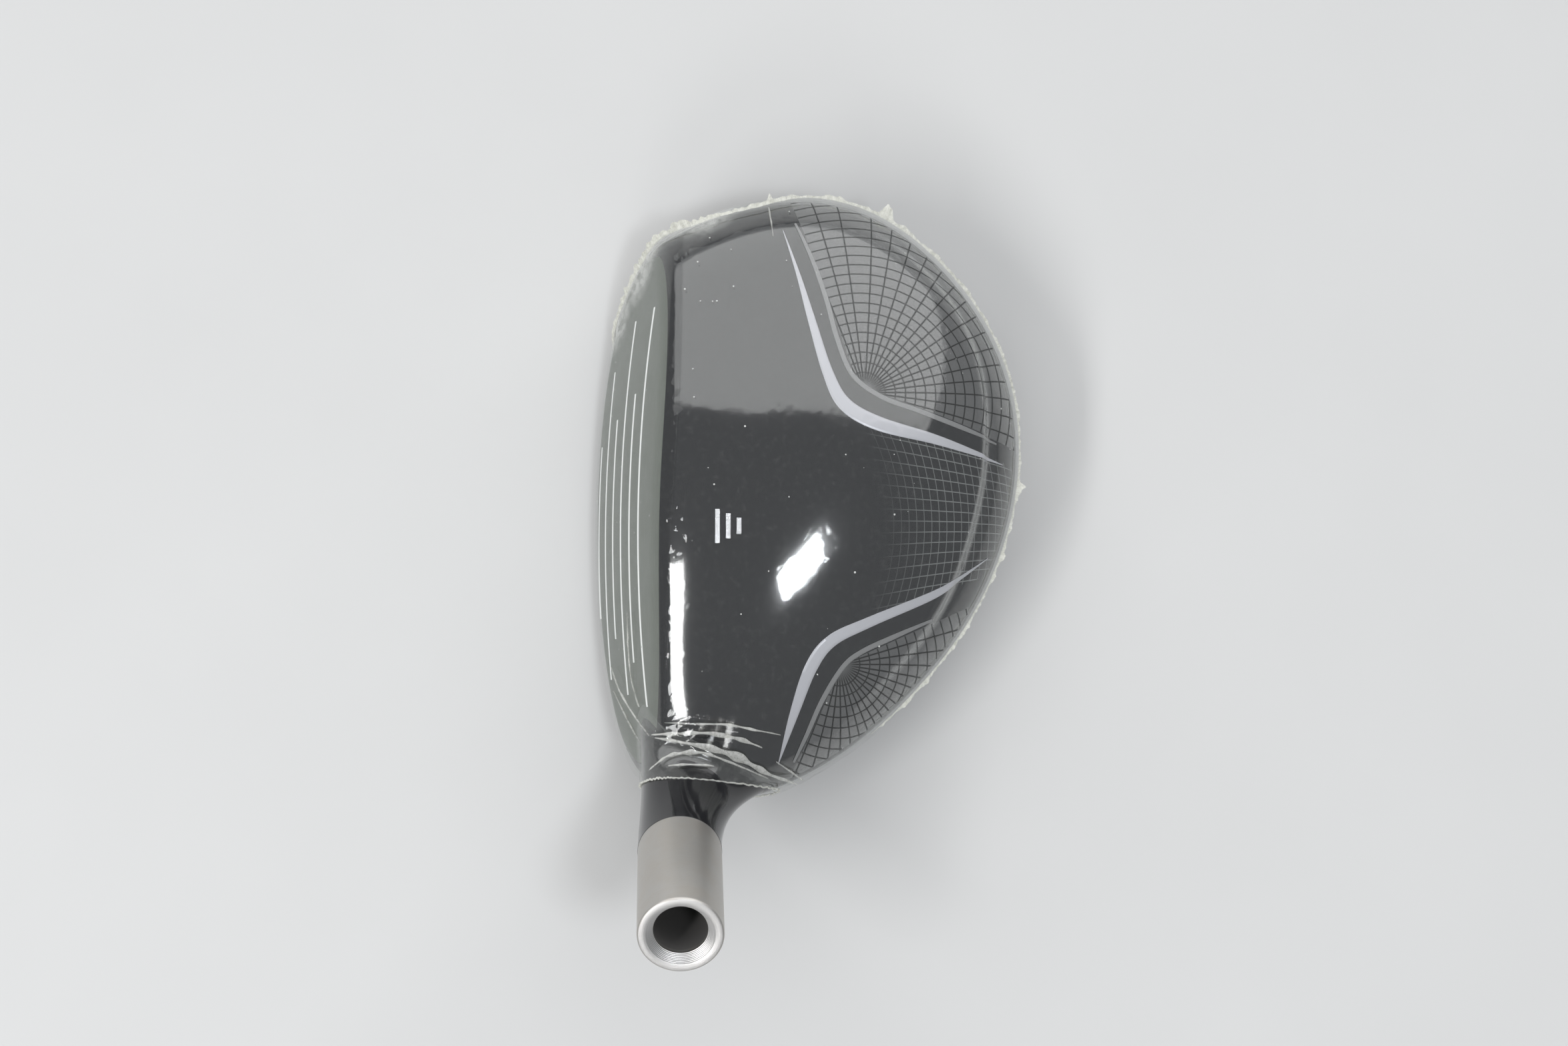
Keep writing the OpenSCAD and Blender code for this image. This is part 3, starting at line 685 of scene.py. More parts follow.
def film_milky(name, c0, c1, amount):
    """Film melted back on itself at the weld: whitish, only half see-through."""
    m = Mat(name)
    p = m.pos()
    g = m.noise(p, 1.1, 5.0, 0.7)
    clear = m.node("BsdfTransparent")
    clear.inputs[0].default_value = (0.97, 0.97, 0.94, 1)
    body = m.bsdf(False, Base_Color=m.mix(g, c0, c1), Roughness=m.lerp(g, 0.2, 0.4),
                  Normal=m.bump(m.noise(p, 3.0, 4.0), 0.5, 0.0003))
    b = m.node("MixShader")
    m.put(b.inputs[0], m.ramp(g, 0.3, 0.65, amount * 0.6, amount))
    m.put(b.inputs[1], clear.outputs[0])
    m.put(b.inputs[2], body)
    m.t.links.new(b.outputs[0], m.out.inputs[0])
    return m.m


M_CROWN = paint_black("gloss_black_crown", True)
M_BODY = paint_black("gloss_black_body", False)
# The face steel's colour is darker and greener than bare steel: a painted reflection of dark green
# surroundings over the metal's own grey.
M_FACE = metal_blasted("face_steel", (0.128, 0.142, 0.122), (0.180, 0.194, 0.170), 0.42, 0.5, 0.3, 9.0, 0.35)
M_TUBE = metal_turned("turned_steel")
M_STRIPE = paint_flat("stripe_silver", (0.40, 0.40, 0.43), (0.46, 0.46, 0.49), 0.2, 0.34)
M_OUTLINE = paint_flat("outline_grey", (0.190, 0.190, 0.192), (0.230, 0.230, 0.233), 0.2, 0.34)
M_FILM = film_clear("clear_film", 0.008, (((-39.8, -23.9, 14.8), 9.0, 0.35), ((-32.0, -28.0, 8.0), 8.0, 0.3),
                                          ((-45.5, -13.0, 20.0), 7.0, 0.3)))
M_COLLAR = film_clear("clear_film_neck", 0.035)
M_FIN = film_milky("melted_film", (0.62, 0.62, 0.54), (0.80, 0.80, 0.76), 0.62)
# Whitish fold strips: partly the milky doubled film, partly painted highlights on the neck's folds.
M_FOLD_HIGHLIGHT = film_milky("film_fold_highlight", (0.66, 0.66, 0.64), (0.86, 0.86, 0.84), 0.42)
M_LIP = film_milky("film_edge", (0.72, 0.72, 0.66), (0.86, 0.86, 0.82), 0.6)

CAD_LOOKS = {
    "score_lines": plastic("white_fill", (0.84, 0.85, 0.84), (0.94, 0.94, 0.93), 0.45, scale=6.0),
    "crown_weld": metal_blasted("weld_steel", (0.30, 0.28, 0.25), (0.52, 0.50, 0.47), 0.5),
    "face_weld": metal_blasted("weld_steel_face", (0.30, 0.28, 0.25), (0.50, 0.48, 0.46), 0.5),
    "hosel_plug": plastic("bore_plug", (0.60, 0.55, 0.40), (0.72, 0.68, 0.54), 0.55),
    "braze_ring": metal_blasted("braze", (0.62, 0.46, 0.20), (0.78, 0.62, 0.32), 0.32),
    "sole_badge": metal_blasted("brushed_badge", (0.52, 0.52, 0.51), (0.68, 0.68, 0.67), 0.3,
                                bump=0.2, scale=9.0, streak=0.8),
    "weight_slug": metal_blasted("weight_steel", (0.45, 0.45, 0.45), (0.62, 0.62, 0.61), 0.3),
    "weight_washer": plastic("rubber", (0.015, 0.015, 0.015), (0.03, 0.03, 0.03), 0.7),
    "toe_pad": metal_blasted("raw_casting", (0.28, 0.27, 0.26), (0.42, 0.41, 0.39), 0.6),
    "sole_ribs": metal_blasted("raw_casting_ribs", (0.28, 0.27, 0.26), (0.42, 0.41, 0.39), 0.6),
    "hot_melt": plastic("hot_melt", (0.66, 0.50, 0.22), (0.80, 0.66, 0.36), 0.3, scale=0.8),
    "alignment_bars": metal_blasted("bar_silver", (0.50, 0.50, 0.51), (0.64, 0.64, 0.65), 0.25, 0.8),
}
for name, mat in CAD_LOOKS.items():
    NODE[name].data.materials.clear()
    NODE[name].data.materials.append(mat)
for name in ("alignment_bars", "sole_badge", "weight_slug"):
    b = NODE[name].modifiers.new("edges", "BEVEL")
    b.width, b.segments, b.limit_method, b.angle_limit = 0.00008, 2, "ANGLE", rad(40)

# ---------------------------------------------------------------- crown
def crown_shell(n, lev_o, lev_i, n_in=12):
    """A sheet over the crown, out to its joint with the body, between two levels."""
    s = Solid()
    t = (np.arange(n) / n) ** 1.35
    rr = joint_r(COLS)[None, :] * (1 - t[:, None])
    E = crown_e(np.broadcast_to(COLS, rr.shape), rr)
    A = np.broadcast_to(COLS, E.shape)
    lo = lev_o(A, E) if callable(lev_o) else lev_o
    o = s.grid(skin(A, E, lo))
    lp = float(np.mean(lo[-1])) if callable(lev_o) else lev_o
    s.fan(o[-1], skin(0.0, 90.0, lp))
    k = np.unique(np.round(np.linspace(0, n - 1, n_in)).astype(int))
    i = s.grid(skin(A[k], E[k], lev_i))
    s.fan(i[-1], skin(0.0, 90.0, lev_i))
    s.band(o[0], i[0])
    return s


piece("crown", crown_shell(140, 0.0, -CROWN_WALL), M_CROWN, "crown_black", ["crown_shell"])

# ---------------------------------------------------------------- body with the neck
def body_solid():
    s = Solid()
    nt, nq = 26, 54

    def rows(n1, n2, lev, lev0, zmin):
        t1 = np.linspace(0, 1, n1)[:, None]
        t2 = (np.linspace(0, 1, n2 + 1)[:-1] ** 1.5)[:, None]
        up, dn = JE + (TE - JE) * t1, QE + (-90 - QE) * t2
        A = COLS[None, :]
        ramp = lev0 + (lev - lev0) * ss(0, 0.6, t1)
        return (skin(A, up, np.broadcast_to(ramp, up.shape), zmin), skin(A, dn, lev, zmin))

    keep = FRONT | np.roll(FRONT, -1)
    ou, od = rows(nt, nq, 0.0, 0.0, SOLE_Z)
    iu, idn = rows(6, 14, -BODY_WALL, -CROWN_WALL, SOLE_Z + 1.4)
    O1, O2 = s.grid(ou), s.grid(od)
    I1, I2 = s.grid(iu), s.grid(idn)
    s.fan(O2[-1], [0, 0, SOLE_Z])
    s.fan(I2[-1], [0, 0, SOLE_Z + 1.4])
    s.band(O1[0], I1[0])
    s.band(O1[-1], I1[-1], keep=keep)
    s.band(O2[0], I2[0], keep=keep)
    return s


def neck_solid(grow, n=180, m=46):
    s = Solid()
    g = np.arange(n) * 360 / n
    R = neck_rows(g, grow, m)
    # the paint ends in a thin rounded edge on the tube
    lip = [NECK_P + (TUBE_R + d - 0.02) * around(g) + h * AX
           for d, h in ((-0.15, 0.10), (0.02, 0.10), (0.06, 0.05))]
    idx = s.grid(np.concatenate([np.array(lip), R]))
    s.fan(idx[0], NECK_P + 0.10 * AX)
    s.fan(idx[-1], NECK_ROOT - 2 * AX + np.array([-4, 1.5, -2]))
    return s


BADGE = np.array([[-15, -3.2], [-12.4, -5.6], [13.2, -5.6], [16, -2.6], [12.2, 5.2], [-11.4, 5.2]]) + [-2, -8]
BADGE_MID = BADGE.mean(0)
PORT = [(6.05, 7.0), (6.05, 1.6), (7.3, 0.35), (7.3, -3.0)]       # of the weight: radius and height
PORT_X, PORT_Y, PORT_SIDES = -1, 17, 128
port = lathe(PORT, [PORT_X, PORT_Y, 0], [0, 0, 1], PORT_SIDES, False)
for row in (0, len(PORT) - 1):
    port.fan(np.arange(PORT_SIDES) + row * PORT_SIDES, [PORT_X, PORT_Y, PORT[row][1]])
body = piece("body", body_solid(), M_BODY, "body_black", ["body_casting"])
cut(body, [port, prism(BADGE_MID + (BADGE - BADGE_MID) * 1.012, -1.0, 1.05)])
piece("neck", neck_solid(0.0), M_BODY, "body_black")

# ---------------------------------------------------------------- face, with cut score lines
LINES = [[-12.6, -13.5, 16.4], [-8.6, -26.2, 27], [-4.4, -17.4, 20.2],
         [-0.2, -34, 29.8], [4.1, -20.9, 24.5], [8.4, -35.2, 32]]


def on_face_plane(u, v, w):
    return FC + u[..., None] * FX + v[..., None] * FY + w[..., None] * FN


def face_w(u, v, lev=0.0):
    """Height over the face plane where the head's surface is."""
    lo, hi = bisect(np.full(u.shape, -14.0), np.full(u.shape, 3.0),
                    lambda m: f_at(on_face_plane(u, v, m)) > lev, 26)
    return (lo + hi) / 2


def face_side(u, v):
    """Above zero where the sphere of the face is the surface, and not the body."""
    p = on_face_plane(u, v, face_w(u, v))
    a = deg(np.arctan2(p[..., 1], p[..., 0])) % 360
    r = np.hypot(p[..., 0], p[..., 1])
    return face_f(a, r, p[..., 2]) - body_f(col(a), r, p[..., 2])


def face_solid():
    ends = [x for _, toe, heel in LINES for x in (toe - 0.03, toe, heel, heel + 0.03)]
    probe = np.linspace(-46, 46, 369)
    mid_ok = face_side(probe, np.full(probe.shape, 0.5)) > 0
    u0, u1 = probe[mid_ok][0], probe[mid_ok][-1]
    packed = u0 + (u1 - u0) * (1 - np.cos(np.linspace(0, np.pi, 90))) / 2      # closer at both ends
    u = np.unique(np.round(np.concatenate([np.linspace(u0, u1, 150), packed, ends]), 4))
    u = u[(u >= u0) & (u <= u1)]
    v0 = np.full(u.shape, 0.5)
    lo, hi = [sum(bisect(v0, v0 + far, lambda m: ~(face_side(u, m) > 0), 20)) / 2 for far in (-24, 24)]
    lo[0] = hi[0] = (lo[0] + hi[0]) / 2
    lo[-1] = hi[-1] = (lo[-1] + hi[-1]) / 2
    W = GROOVE_HALF
    v = [np.linspace(-20, 20, 81)]
    v += [[h - W - 0.03, h - W, h, h + W, h + W + 0.03] for h, _, _ in LINES]
    v = np.unique(np.round(np.concatenate(v), 4))
    # rows keep clear of a groove wall, so no sliver is left beside it
    V = np.clip(v[:, None], lo[None, :], hi[None, :])
    U = np.broadcast_to(u, V.shape)
    w = face_w(U.ravel(), V.ravel()).reshape(U.shape)
    groove = np.zeros(w.shape)
    for h, a, b in LINES:
        in_line = (abs(V - h) < W + 0.01) & (U > a - 0.01) & (U < b + 0.01)
        groove = np.maximum(groove, GROOVE_DEPTH * in_line)
    s = Solid()
    o = s.grid(on_face_plane(U, V, w - groove), False)
    i = s.grid(on_face_plane(U, V, w - FACE_DEPTH), False)
    for row in (0, -1):
        s.band(o[row], i[row], False)
    for c in (0, -1):
        s.band(o[:, c], i[:, c], False)
    return s


piece("face", face_solid(), M_FACE, "face_steel", ["face_plate"], sharp=30, merge=2e-7)

# ---------------------------------------------------------------- hosel tube
MOUTH_R, MOUTH_D, TOOL_IN, TOOL_DOWN = 5.34, 0.06, 0.15, 0.213
prof = [(TUBE_R, TUBE_BARE), (TUBE_R, 12.0), (TUBE_R, 0.45), (6.77, 0.22), (6.68, 0.07), (6.5, 0.0),
        (5.42, 0.0), (MOUTH_R, MOUTH_D)]
for k in range(7):       # steps left by the tool in the mouth
    r, d = MOUTH_R - k * TOOL_IN, MOUTH_D + k * TOOL_DOWN
    prof += [(r - 0.02, d + 0.14), (r - TOOL_IN, d + TOOL_DOWN)]
prof += [(BORE_R, 1.7), (BORE_R, BORE_DEPTH), (3.2, BORE_DEPTH + 0.5), (3.2, TUBE_LEN),
         (5.6, TUBE_LEN), (5.6, TUBE_BARE + 0.05)]
piece("hosel_tube_turned", lathe(prof, MOUTH, -AX, 192), M_TUBE, "tube_steel", ["hosel_tube"], sharp=40)

# ---------------------------------------------------------------- stripes and outlines on the crown
TOE = [[-43.9, -0.5, 0.1], [-35.5, 1.9, 0.7], [-27.8, 3.9, 1.3], [-18.7, 6.5, 1.8], [-13.4, 9.3, 2.3],
       [-10.3, 14.8, 2.4], [-8.1, 24.0, 1.7], [-6.4, 30.5, 1.0], [-4.8, 36.8, 0.1]]
HEEL = [[10.9, 34.3, 0.1], [14.5, 29.2, 0.6], [17.6, 24.3, 1.3], [22.3, 13.4, 1.7], [25.4, 7.2, 2.0],
        [29.7, 3.9, 2.1], [37.3, 1.2, 1.5], [45.5, -1.2, 0.1]]
TOE2 = [[-45.3, 1.6, 0.35], [-38.6, 4.2, 0.7], [-31.5, 6.4, 0.8], [-24.6, 8.1, 0.8], [-18.4, 10.6, 0.8],
        [-14.8, 15.4, 0.8], [-12.6, 21.9, 0.8], [-10.3, 29.0, 0.8], [-8.2, 35.6, 0.3]]
HEEL2 = [[21.6, 24.4, 0.4], [24.6, 17.6, 0.8], [27.1, 12.3, 0.8], [29.6, 9.2, 0.8], [35.0, 5.9, 0.8],
         [40.8, 3.4, 0.7], [45.2, 1.4, 0.35]]


def ribbon(P, top=0.075):
    """A band of paint on the crown along a line of (x, y, width), rounded at its edges."""
    st = catmull(P, 20)
    d = np.gradient(st[:, :2], axis=0)
    d /= np.linalg.norm(d, axis=1)[:, None]
    nrm = np.stack([-d[:, 1], d[:, 0]], 1)
    w = np.maximum(0.05, st[:, 2])[:, None] / 2
    s = Solid()
    rows = []
    for k, lev in ((1, -0.03), (1, 0.03), (0.94, top), (0.5, top), (0, top), (-0.5, top), (-0.94, top),
                   (-1, 0.03), (-1, -0.03)):
        xy = st[:, :2] + nrm * w * k
        rows.append(np.column_stack([xy, crown_z(xy[:, 0], xy[:, 1], lev)]))
    s.bar(rows)
    return s


for band, line, mat, slot in (("toe_stripe", TOE, M_STRIPE, "stripe_silver"),
                              ("heel_stripe", HEEL, M_STRIPE, "stripe_silver"),
                              ("toe_outline", TOE2, M_OUTLINE, "outline_grey"),
                              ("heel_outline", HEEL2, M_OUTLINE, "outline_grey")):
    piece(band + "_painted", ribbon(line), mat, slot, [band], sharp=50)

# ---------------------------------------------------------------- film
FILM_END_N, LIP_LIFT = np.array([0.988, 0, 0.156]), 0.14      # the cut end's plane, and its bead
# folds and creases: points along each, height, half width
FOLDS = [
    ([(40.5, -22.0, 26.2), (40.4, -18.0, 28.8), (40.3, -13.1, 30.0),
      (41.2, -8.0, 29.6), (42.6, -4.0, 28.6)], 0.50, 0.55),
    ([(38.6, -20.0, 28.6), (38.9, -15.0, 30.8), (39.0, -10.0, 31.2),
      (39.8, -5.5, 30.4), (40.6, -1.0, 29.0)], 0.22, 0.45),
    ([(46.4, -22.6, 21.0), (44.6, -20.4, 24.8), (43.8, -18.5, 26.7),
      (43.5, -14.1, 28.1), (44.9, -9.7, 27.4), (47.6, -2.9, 23.8)], 0.42, 0.6),
    ([(45.7, -19.5, 24.8), (45.5, -16.0, 26.4), (45.7, -12.0, 26.9)], 0.25, 0.4),
    ([(41.0, -21.5, 26.2), (42.2, -15.0, 29.2), (43.9, -8.6, 28.3),
      (46.8, -3.0, 24.8), (48.5, 2.0, 20.6)], 0.55, 0.75),
    ([(44.9, -1.6, 26.4), (46.6, 1.0, 23.4), (48.0, 3.2, 20.2)], 0.30, 0.3),
    ([(34.0, -21.0, 28.8), (36.6, -17.0, 31.4), (38.0, -12.0, 31.9)], 0.12, 0.5),
    ([(29.0, -29.0, 13.0), (33.0, -27.6, 16.5), (37.4, -25.0, 21.0), (40.8, -22.4, 25.4)], 0.26, 0.35),
    ([(33.0, -28.6, 10.6), (36.4, -27.0, 14.0), (40.6, -24.8, 19.0), (44.0, -22.6, 22.4)], 0.22, 0.3),
    ([(20.0, -26.4, 22.4), (26.0, -26.2, 22.0), (31.6, -25.6, 21.2), (36.0, -24.2, 22.4)], 0.14, 0.4),
    ([(-48.6, -2.4, 22.6), (-46.0, -2.3, 25.6), (-42.6, -2.0, 28.0)], 0.40, 0.22),
    ([(-49.0, 1.6, 22.6), (-46.8, 1.8, 25.2), (-44.6, 2.2, 27.2)], 0.24, 0.25),
    ([(-45.8, -9.6, 23.2), (-43.0, -9.0, 26.4)], 0.25, 0.25),
    ([(-33.4, -26.6, 10.0), (-37.6, -24.8, 14.0), (-40.6, -21.6, 18.4)], 0.35, 0.5),
    ([(-36.8, -25.8, 9.4), (-40.6, -23.0, 14.6), (-43.2, -18.6, 19.4)], 0.45, 0.45),
    ([(-29.0, -27.6, 8.4), (-31.0, -26.6, 13.0), (-34.6, -24.4, 18.0)], 0.22, 0.4),
]


def lift(line):
    """Raises the points of a fold on to the blend of the neck where that stands over the head."""
    top = neck_rows(np.arange(0, 360, 1.0), GAP + FILM, 140).reshape(-1, 3)
    out = []
    for p in catmull(line, 6):
        near = top[np.hypot(top[:, 0] - p[0], top[:, 1] - p[1]) < 0.6]
        z = near[:, 2].max() if len(near) else -99
        out.append([p[0], p[1], max(p[2], z)])
    return np.array(out)


FOLDS = [(lift(p) if min(q[2] for q in p) > 19 else catmull(p, 6), h, w) for p, h, w in FOLDS]
# small puckers along the top line: place, height, half width
TICKS = [((RNG.uniform(-33, 30), RNG.normal(-18.6, 1.0)), RNG.uniform(0.03, 0.09), RNG.uniform(0.3, 0.6))
         for _ in range(70)]


def film_rise(P):
    """How far the film stands off, over its own even level, at points of the skin."""
    w = np.zeros(P.shape[:-1])
    for line, h, half in FOLDS:
        c = line.mean(0)
        reach = np.linalg.norm(line - c, axis=-1).max() + 4 * half
        near = np.linalg.norm(P - c, axis=-1) < reach
        d, t = poly_dist(P[near], line)
        w[near] += h * np.exp(-(d / half) ** 2) * np.sin(np.pi * np.clip(t, 0.02, 0.98)) ** 0.6
    up = P[..., 2] > 26
    for c, h, half in TICKS:
        d = np.hypot((P[..., 0] - c[0]) / 1.6, P[..., 1] - c[1])
        w += np.where(up & (d < 3 * half), h * np.exp(-(d / half) ** 2), 0)
    # long slack waves, strongest by the neck and at the toe corner
    slack = 0.012 + 0.05 * ss(30, 42, P[..., 0]) + 0.05 * ss(-30, -42, P[..., 0]) * ss(-10, -22, P[..., 1])
    x, y, z = P[..., 0], P[..., 1], P[..., 2]
    w += slack * (1 + waves(x * 1.3 + y * 0.5, 3) * waves(y * 1.1 - z * 0.7, 4))
    return np.maximum(w, 0)


def film_level(A, E):
    """Level of the film's outer face, sunk a little so that its waves stay near their mean."""
    P = skin(A, E, GAP + FILM)
    return GAP + FILM - 0.06 + film_rise(P)


def film_box():
    """Everything past the cut end of the film."""
    n = FILM_END_N
    u, v = np.cross(n, [0, 1, 0]), np.array([0.0, 1.0, 0.0])
    c = np.array([50.0, -5.0, 18.0])
    s = Solid()
    quad = np.array([[-90, -90], [90, -90], [90, 90], [-90, 90]], float)
    a = s.add([c + x * u + y * v for x, y in quad])
    b = s.add([c + x * u + y * v + 80 * n for x, y in quad])
    s.band(a, b)
    s.f += [a[::-1].tolist(), b.tolist()]
    return s


upper = piece("film_over_crown", crown_shell(124, film_level, GAP, 24), M_FILM, "film", ["film_upper"],
              sharp=60)
cut(upper, [film_box()], 60)


def film_under():
    """The film round the face, the skirt and the sole, flat where the head stands on it."""
    knots = [0, 0.035, 0.075, 0.13, 0.2, 0.34, 0.55, 0.78, 0.9, 0.965,
             1, 1.02, 1.06, 1.13, 1.26, 1.42, 1.62, 1.84]
    places = np.linspace(0, len(knots) - 1, (len(knots) - 1) * 7 + 1)
    t = np.interp(places, np.arange(len(knots)), knots)[:, None]
    E = np.where(t <= 1, JE + (QE - JE) * t, QE + (-90 - QE) * (t - 1))
    A = np.broadcast_to(COLS, E.shape)
    s = Solid()
    o = s.grid(skin(A, E, film_level(A, E), 0.0))
    k = np.unique(np.round(np.linspace(0, len(t) - 1, 40)).astype(int))
    i = s.grid(skin(A[k], E[k], GAP, 0.2))
    s.fan(o[-1], [0, 0, 0.0])
    s.fan(i[-1], [0, 0, 0.2])
    s.band(o[0], i[0])
    return s


lower = piece("film_over_body", film_under(), M_FILM, "film", ["film_lower"], sharp=60)
cut(lower, [film_box()], 60)


def collar_solid(n=420, m=110):
    g = np.arange(n) * 360 / n
    base = neck_rows(g, GAP + FILM - 0.05, m)
    inner = neck_rows(g, GAP, m)
    out = base - inner
    out /= np.linalg.norm(out, axis=-1)[..., None]
    base = base + out * film_rise(base)[..., None]
    s = Solid()
    k0 = int(m * 0.02)
    o = s.grid(base[k0:])
    i = s.grid(inner[k0:])
    s.band(o[0], i[0])
    s.band(o[-1], i[-1])
    return s


collar = piece("film_over_neck", collar_solid(), M_COLLAR, "film", ["film_collar"], sharp=60)
cut(collar, [film_box()], 60)


def fin_line(a):
    """Elevation of the welded edge of the film: the joint at the back, then down the toe corner."""
    back = crown_e(a, joint_r(a)) - 1.0
    corner = np.interp(a, [183, 191, 199, 211, 221, 230], [7.2, 6.4, 5.3, -3.0, -13.0, -22.0])
    k = ss(172, 188, a)
    return back * (1 - k) + corner * k


def fin_solid():
    """The weld of the film, trimmed close: a ragged whitish fin, melted thick at the toe corner."""
    a = np.linspace(20, 230, 1500)
    g = np.random.default_rng(11)
    e = fin_line(a) + 0.10 * waves(a * 0.9, 5) + 0.05 * waves(a * 4.1, 6)
    rag = sum(0.5 * np.interp(a, np.linspace(20, 230, n), g.uniform(0.2, 1.0, n)) for n in (330, 90))
    low = 0.5 + 0.5 * waves(a * 0.35, 9)
    melt = ss(192, 204, a) * (1 - ss(222, 230, a))
    drip = np.clip(0.6 + 0.6 * waves(a * 1.1, 12), 0.1, 1.3)
    h = (0.20 + 0.25 * np.clip(low, 0, 1)) * rag + melt * (0.08 + 0.5 * rag * drip)
    # the torn tags
    h += 1.1 * np.exp(-((a - 160) / 1.2) ** 2) * (0.6 + 0.4 * rag) + 0.5 * np.exp(-((a - 182.9) / 0.4) ** 2)
    h += 0.7 * np.exp(-((a - 92) / 1.4) ** 2) * rag + 0.5 * np.exp(-((a - 74) / 1.0) ** 2) * rag
    h *= ss(20, 26, a) * (1 - ss(226, 230, a))
    base = GAP + FILM - 0.05
    sway = 0.5 * waves(a * 1.7, 14) * (0.35 + melt)
    s = Solid()
    rows = []
    for frac, half in ((0, -0.22), (0.35, -0.12), (0.8, -0.05), (1.0, 0.0), (0.8, 0.05), (0.35, 0.12),
                       (0, 0.22)):
        rows.append(skin(a, e + np.degrees(half / 45) * (1 + melt) + sway * frac, base + h * frac))
    s.bar(rows)
    return s


def fold_solid():
    """The crests of the folds round the neck: whitish strips, partly where the film is doubled and milky and
    partly painted highlights on the folds.
    """
    s = Solid()
    for k, wide in ((0, 1.0), (1, 0.5), (2, 0.8), (3, 0.6), (4, 1.5), (5, 0.35), (7, 0.35), (8, 0.3),
                    (9, 0.3), (10, 0.3)):
        P, h, _ = FOLDS[k]
        P = catmull(P[::3], 8)
        j = np.arange(len(P))
        t = np.gradient(P, axis=0)
        t /= np.linalg.norm(t, axis=1)[:, None]
        side = np.cross(t, [0.45, -0.25, 0.86])
        side /= np.linalg.norm(side, axis=1)[:, None]
        nrm = np.cross(side, t)
        nrm *= np.sign(nrm[:, 2:3])
        taper = np.sin(np.pi * np.clip(j / (len(P) - 1), 0.015, 0.985)) ** 0.7
        w = (wide * taper * (0.8 + 0.35 * waves(j * 0.23 + k, 31)))[:, None]
        stand = h * 0.75 + 0.10
        sway = 0.06 * waves(j * 0.4, 33 + k)[:, None]
        rows = [P + side * w * (a + sway) + nrm * (stand + b)
                for a, b in ((-0.5, -0.16), (-0.35, 0.02), (-0.1, 0.10), (0.1, 0.08), (0.35, 0.0),
                             (0.5, -0.16), (0, -0.12))]
        s.bar(rows)
    return s


piece("film_folds", fold_solid(), M_FOLD_HIGHLIGHT, "film", sharp=70)
piece("film_weld_fin", fin_solid(), M_FIN, "film_white", ["film_seam"], sharp=70)


def lip_lines():
    """Where the cut end of the film runs: over the neck, and round the skin under it."""
    n, c = FILM_END_N, np.array([50.0, -17.6, 18.0])
    g = np.arange(0, 360, 0.75)
    R = neck_rows(g, GAP + LIP_LIFT, 400)
    side = (R - c) @ n
    over = (side[:-1] > 0) & (side[1:] <= 0)
    has = over.any(0)
    k = over.argmax(0)
    top = R[k, np.arange(len(g))]
    # skin part, found outward from the middle of the end
    phi = np.arange(0, 360, 0.75)
    vdir = np.cross([0, 1.0, 0], n)
    d = np.cos(rad(phi))[:, None] * np.array([0, 1.0, 0]) + np.sin(rad(phi))[:, None] * vdir
    lo, _ = bisect(np.zeros(len(phi)), np.full(len(phi), 45.0),
                   lambda m: f_at(c + m[:, None] * d) > GAP + LIP_LIFT, 26)
    low = c + lo[:, None] * d
    q = low - np.array([0, 0, WAIST])
    t = ((NECK_ROOT - [0, 0, WAIST]) @ AX) / (q @ AX)
    x = q * t[:, None] - (NECK_ROOT - [0, 0, WAIST])
    gg = deg(np.arctan2(x @ E2, x @ E1))
    clear = (np.hypot(x @ E1, x @ E2) > foot_r(gg) - 0.4) & (lo > 1)
    lines = []
    for pts, ok in ((top, has), (low, clear)):
        if ok.all() or not ok.any():
            continue
        start = int(np.flatnonzero(ok & ~np.roll(ok, 1))[0])
        seq, okk = np.roll(pts, -start, axis=0), np.roll(ok, -start)
        lines.append(seq[:int(np.argmin(okk))])
    return lines


def lip_solid():
    s = Solid()
    for P in lip_lines():
        if len(P) < 4:
            continue
        j = np.arange(len(P))
        P = P + 0.10 * np.stack([waves(j * 0.35, 21), waves(j * 0.31, 22), waves(j * 0.27, 23)], 1)
        t = np.gradient(P, axis=0)
        t /= np.linalg.norm(t, axis=1)[:, None]
        u = np.cross(t, AX)
        u /= np.linalg.norm(u, axis=1)[:, None]
        w = np.cross(t, u)
        r = (0.13 + 0.04 * waves(j * 0.8, 24))[:, None]
        s.bar([P + r * (np.cos(th) * u * 1.2 + np.sin(th) * w)
               for th in np.linspace(0, 2 * np.pi, 8, endpoint=False)])
    return s


piece("film_cut_edge", lip_solid(), M_LIP, "film_white", sharp=70)

# ---------------------------------------------------------------- floor, light, camera
def floor_material():
    m = Mat("pale_floor")
    p = m.pos()
    g = m.noise(p, 0.02, 3.0)
    m.bsdf(Base_Color=m.mix(g, (0.50, 0.50, 0.495), (0.53, 0.53, 0.525)), Roughness=0.75)
    return m.m


fl = bpy.data.meshes.new("floor")
HALF = 25       # metres
fl.from_pydata([(-HALF, -HALF, 0), (HALF, -HALF, 0), (HALF, HALF, 0), (-HALF, HALF, 0)], [], [(0, 1, 2, 3)])
floor = bpy.data.objects.new("floor", fl)
floor.data.materials.append(floor_material())
bpy.context.scene.collection.objects.link(floor)

AIM = Vector((0.0, 0.0, 0.025))


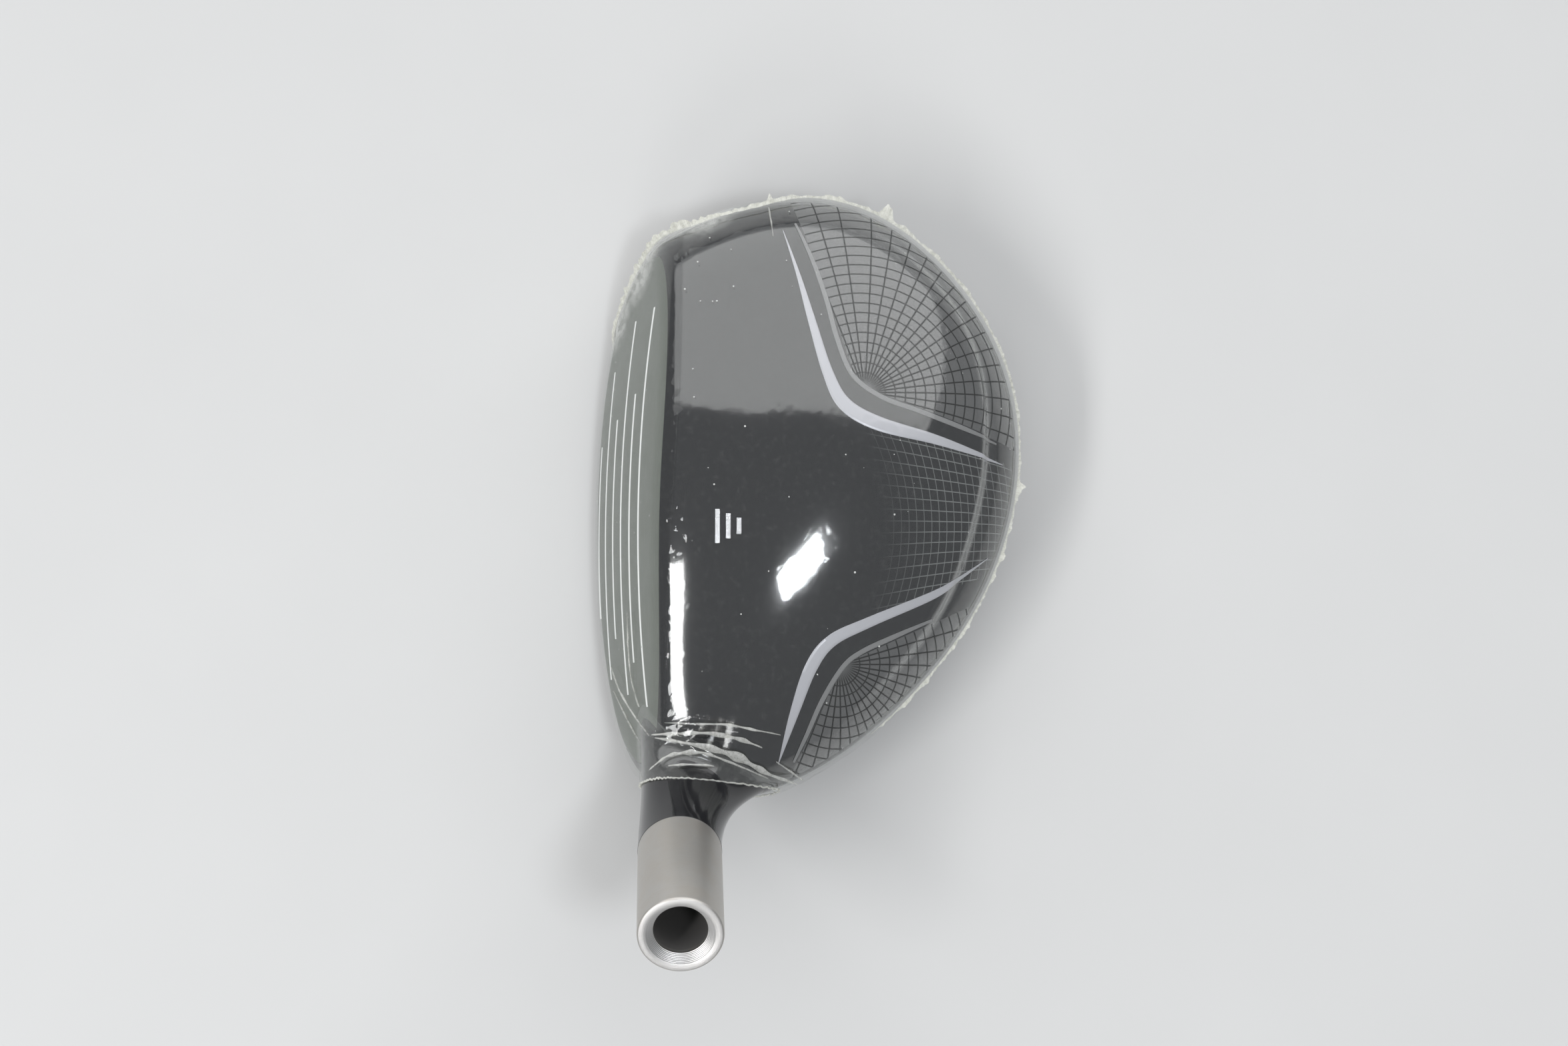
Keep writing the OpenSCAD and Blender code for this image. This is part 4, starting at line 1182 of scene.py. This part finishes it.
def panel(name, direction, distance, size_x, size_y, radiance, tint=(1, 1, 1), along=(1, 0, 0)):
    """A soft rectangle of light of a given brightness; size_x runs along a chosen direction."""
    L = bpy.data.lights.new(name, "AREA")
    L.shape, L.size, L.size_y = "RECTANGLE", size_x, size_y
    L.energy = radiance * np.pi * size_x * size_y
    L.color = tint
    o = bpy.data.objects.new(name, L)
    z = Vector(direction).normalized()
    x = Vector(along) - Vector(along).dot(z) * z
    x.normalize()
    y = z.cross(x)
    o.matrix_world = Matrix.Translation(AIM + z * distance) @ Matrix((x, y, z)).transposed().to_4x4()
    o.visible_camera = False
    bpy.context.scene.collection.objects.link(o)
    return o


panel("toe_panel", (-0.79, 0.05, 0.615), 1.25, 1.60, 2.6, 1.55, along=(0.6, 0, 0.8))
panel("key_box", (0.18, 0.20, 0.96), 1.15, 0.15, 0.19, 40.0, (0.93, 0.96, 1.0), along=(0.8, 0.6, 0))
panel("front_strip", (0.36, -0.56, 0.75), 1.10, 0.75, 0.13, 20.0)
panel("heel_box", (0.80, -0.14, 0.58), 1.10, 0.34, 0.26, 6.5, along=(0, 1, 0))

world = bpy.data.worlds.new("studio")
world.use_nodes = True
bg = world.node_tree.nodes["Background"]
bg.inputs[0].default_value = (0.93, 0.96, 1.0, 1)
bg.inputs[1].default_value = 0.34
bpy.context.scene.world = world

# the focal length is in pixels of the photograph's width; both tilts and the distance are assumed
FOCAL_PX, WIDTH_PX, SENSOR = 4430, 2350, 36.0
TILT_TOE, TILT_FACE, DISTANCE, LOOK_AT = 5.0, 2.5, 500, np.array([4.8, 0.0, 20.0])
cam = bpy.data.cameras.new("camera")
cam.sensor_width, cam.lens = SENSOR, SENSOR * FOCAL_PX / WIDTH_PX
cam.clip_start = 0.01
view_dir = np.array([-np.tan(rad(TILT_TOE)), np.tan(rad(TILT_FACE)), -1.0])
view_dir /= np.linalg.norm(view_dir)
eye = LOOK_AT - DISTANCE * view_dir
up = np.array([-1.0, 0, 0]) + view_dir[0] * view_dir
up /= np.linalg.norm(up)
right = np.cross(view_dir, up)
camera = bpy.data.objects.new("camera", cam)
camera.matrix_world = Matrix.Translation((eye + SHIFT) / 1000) @ Matrix(
    np.stack([right, up, -view_dir], 1).tolist()).to_4x4()
bpy.context.scene.collection.objects.link(camera)
bpy.context.scene.camera = camera
bpy.context.scene.view_settings.view_transform = "Standard"
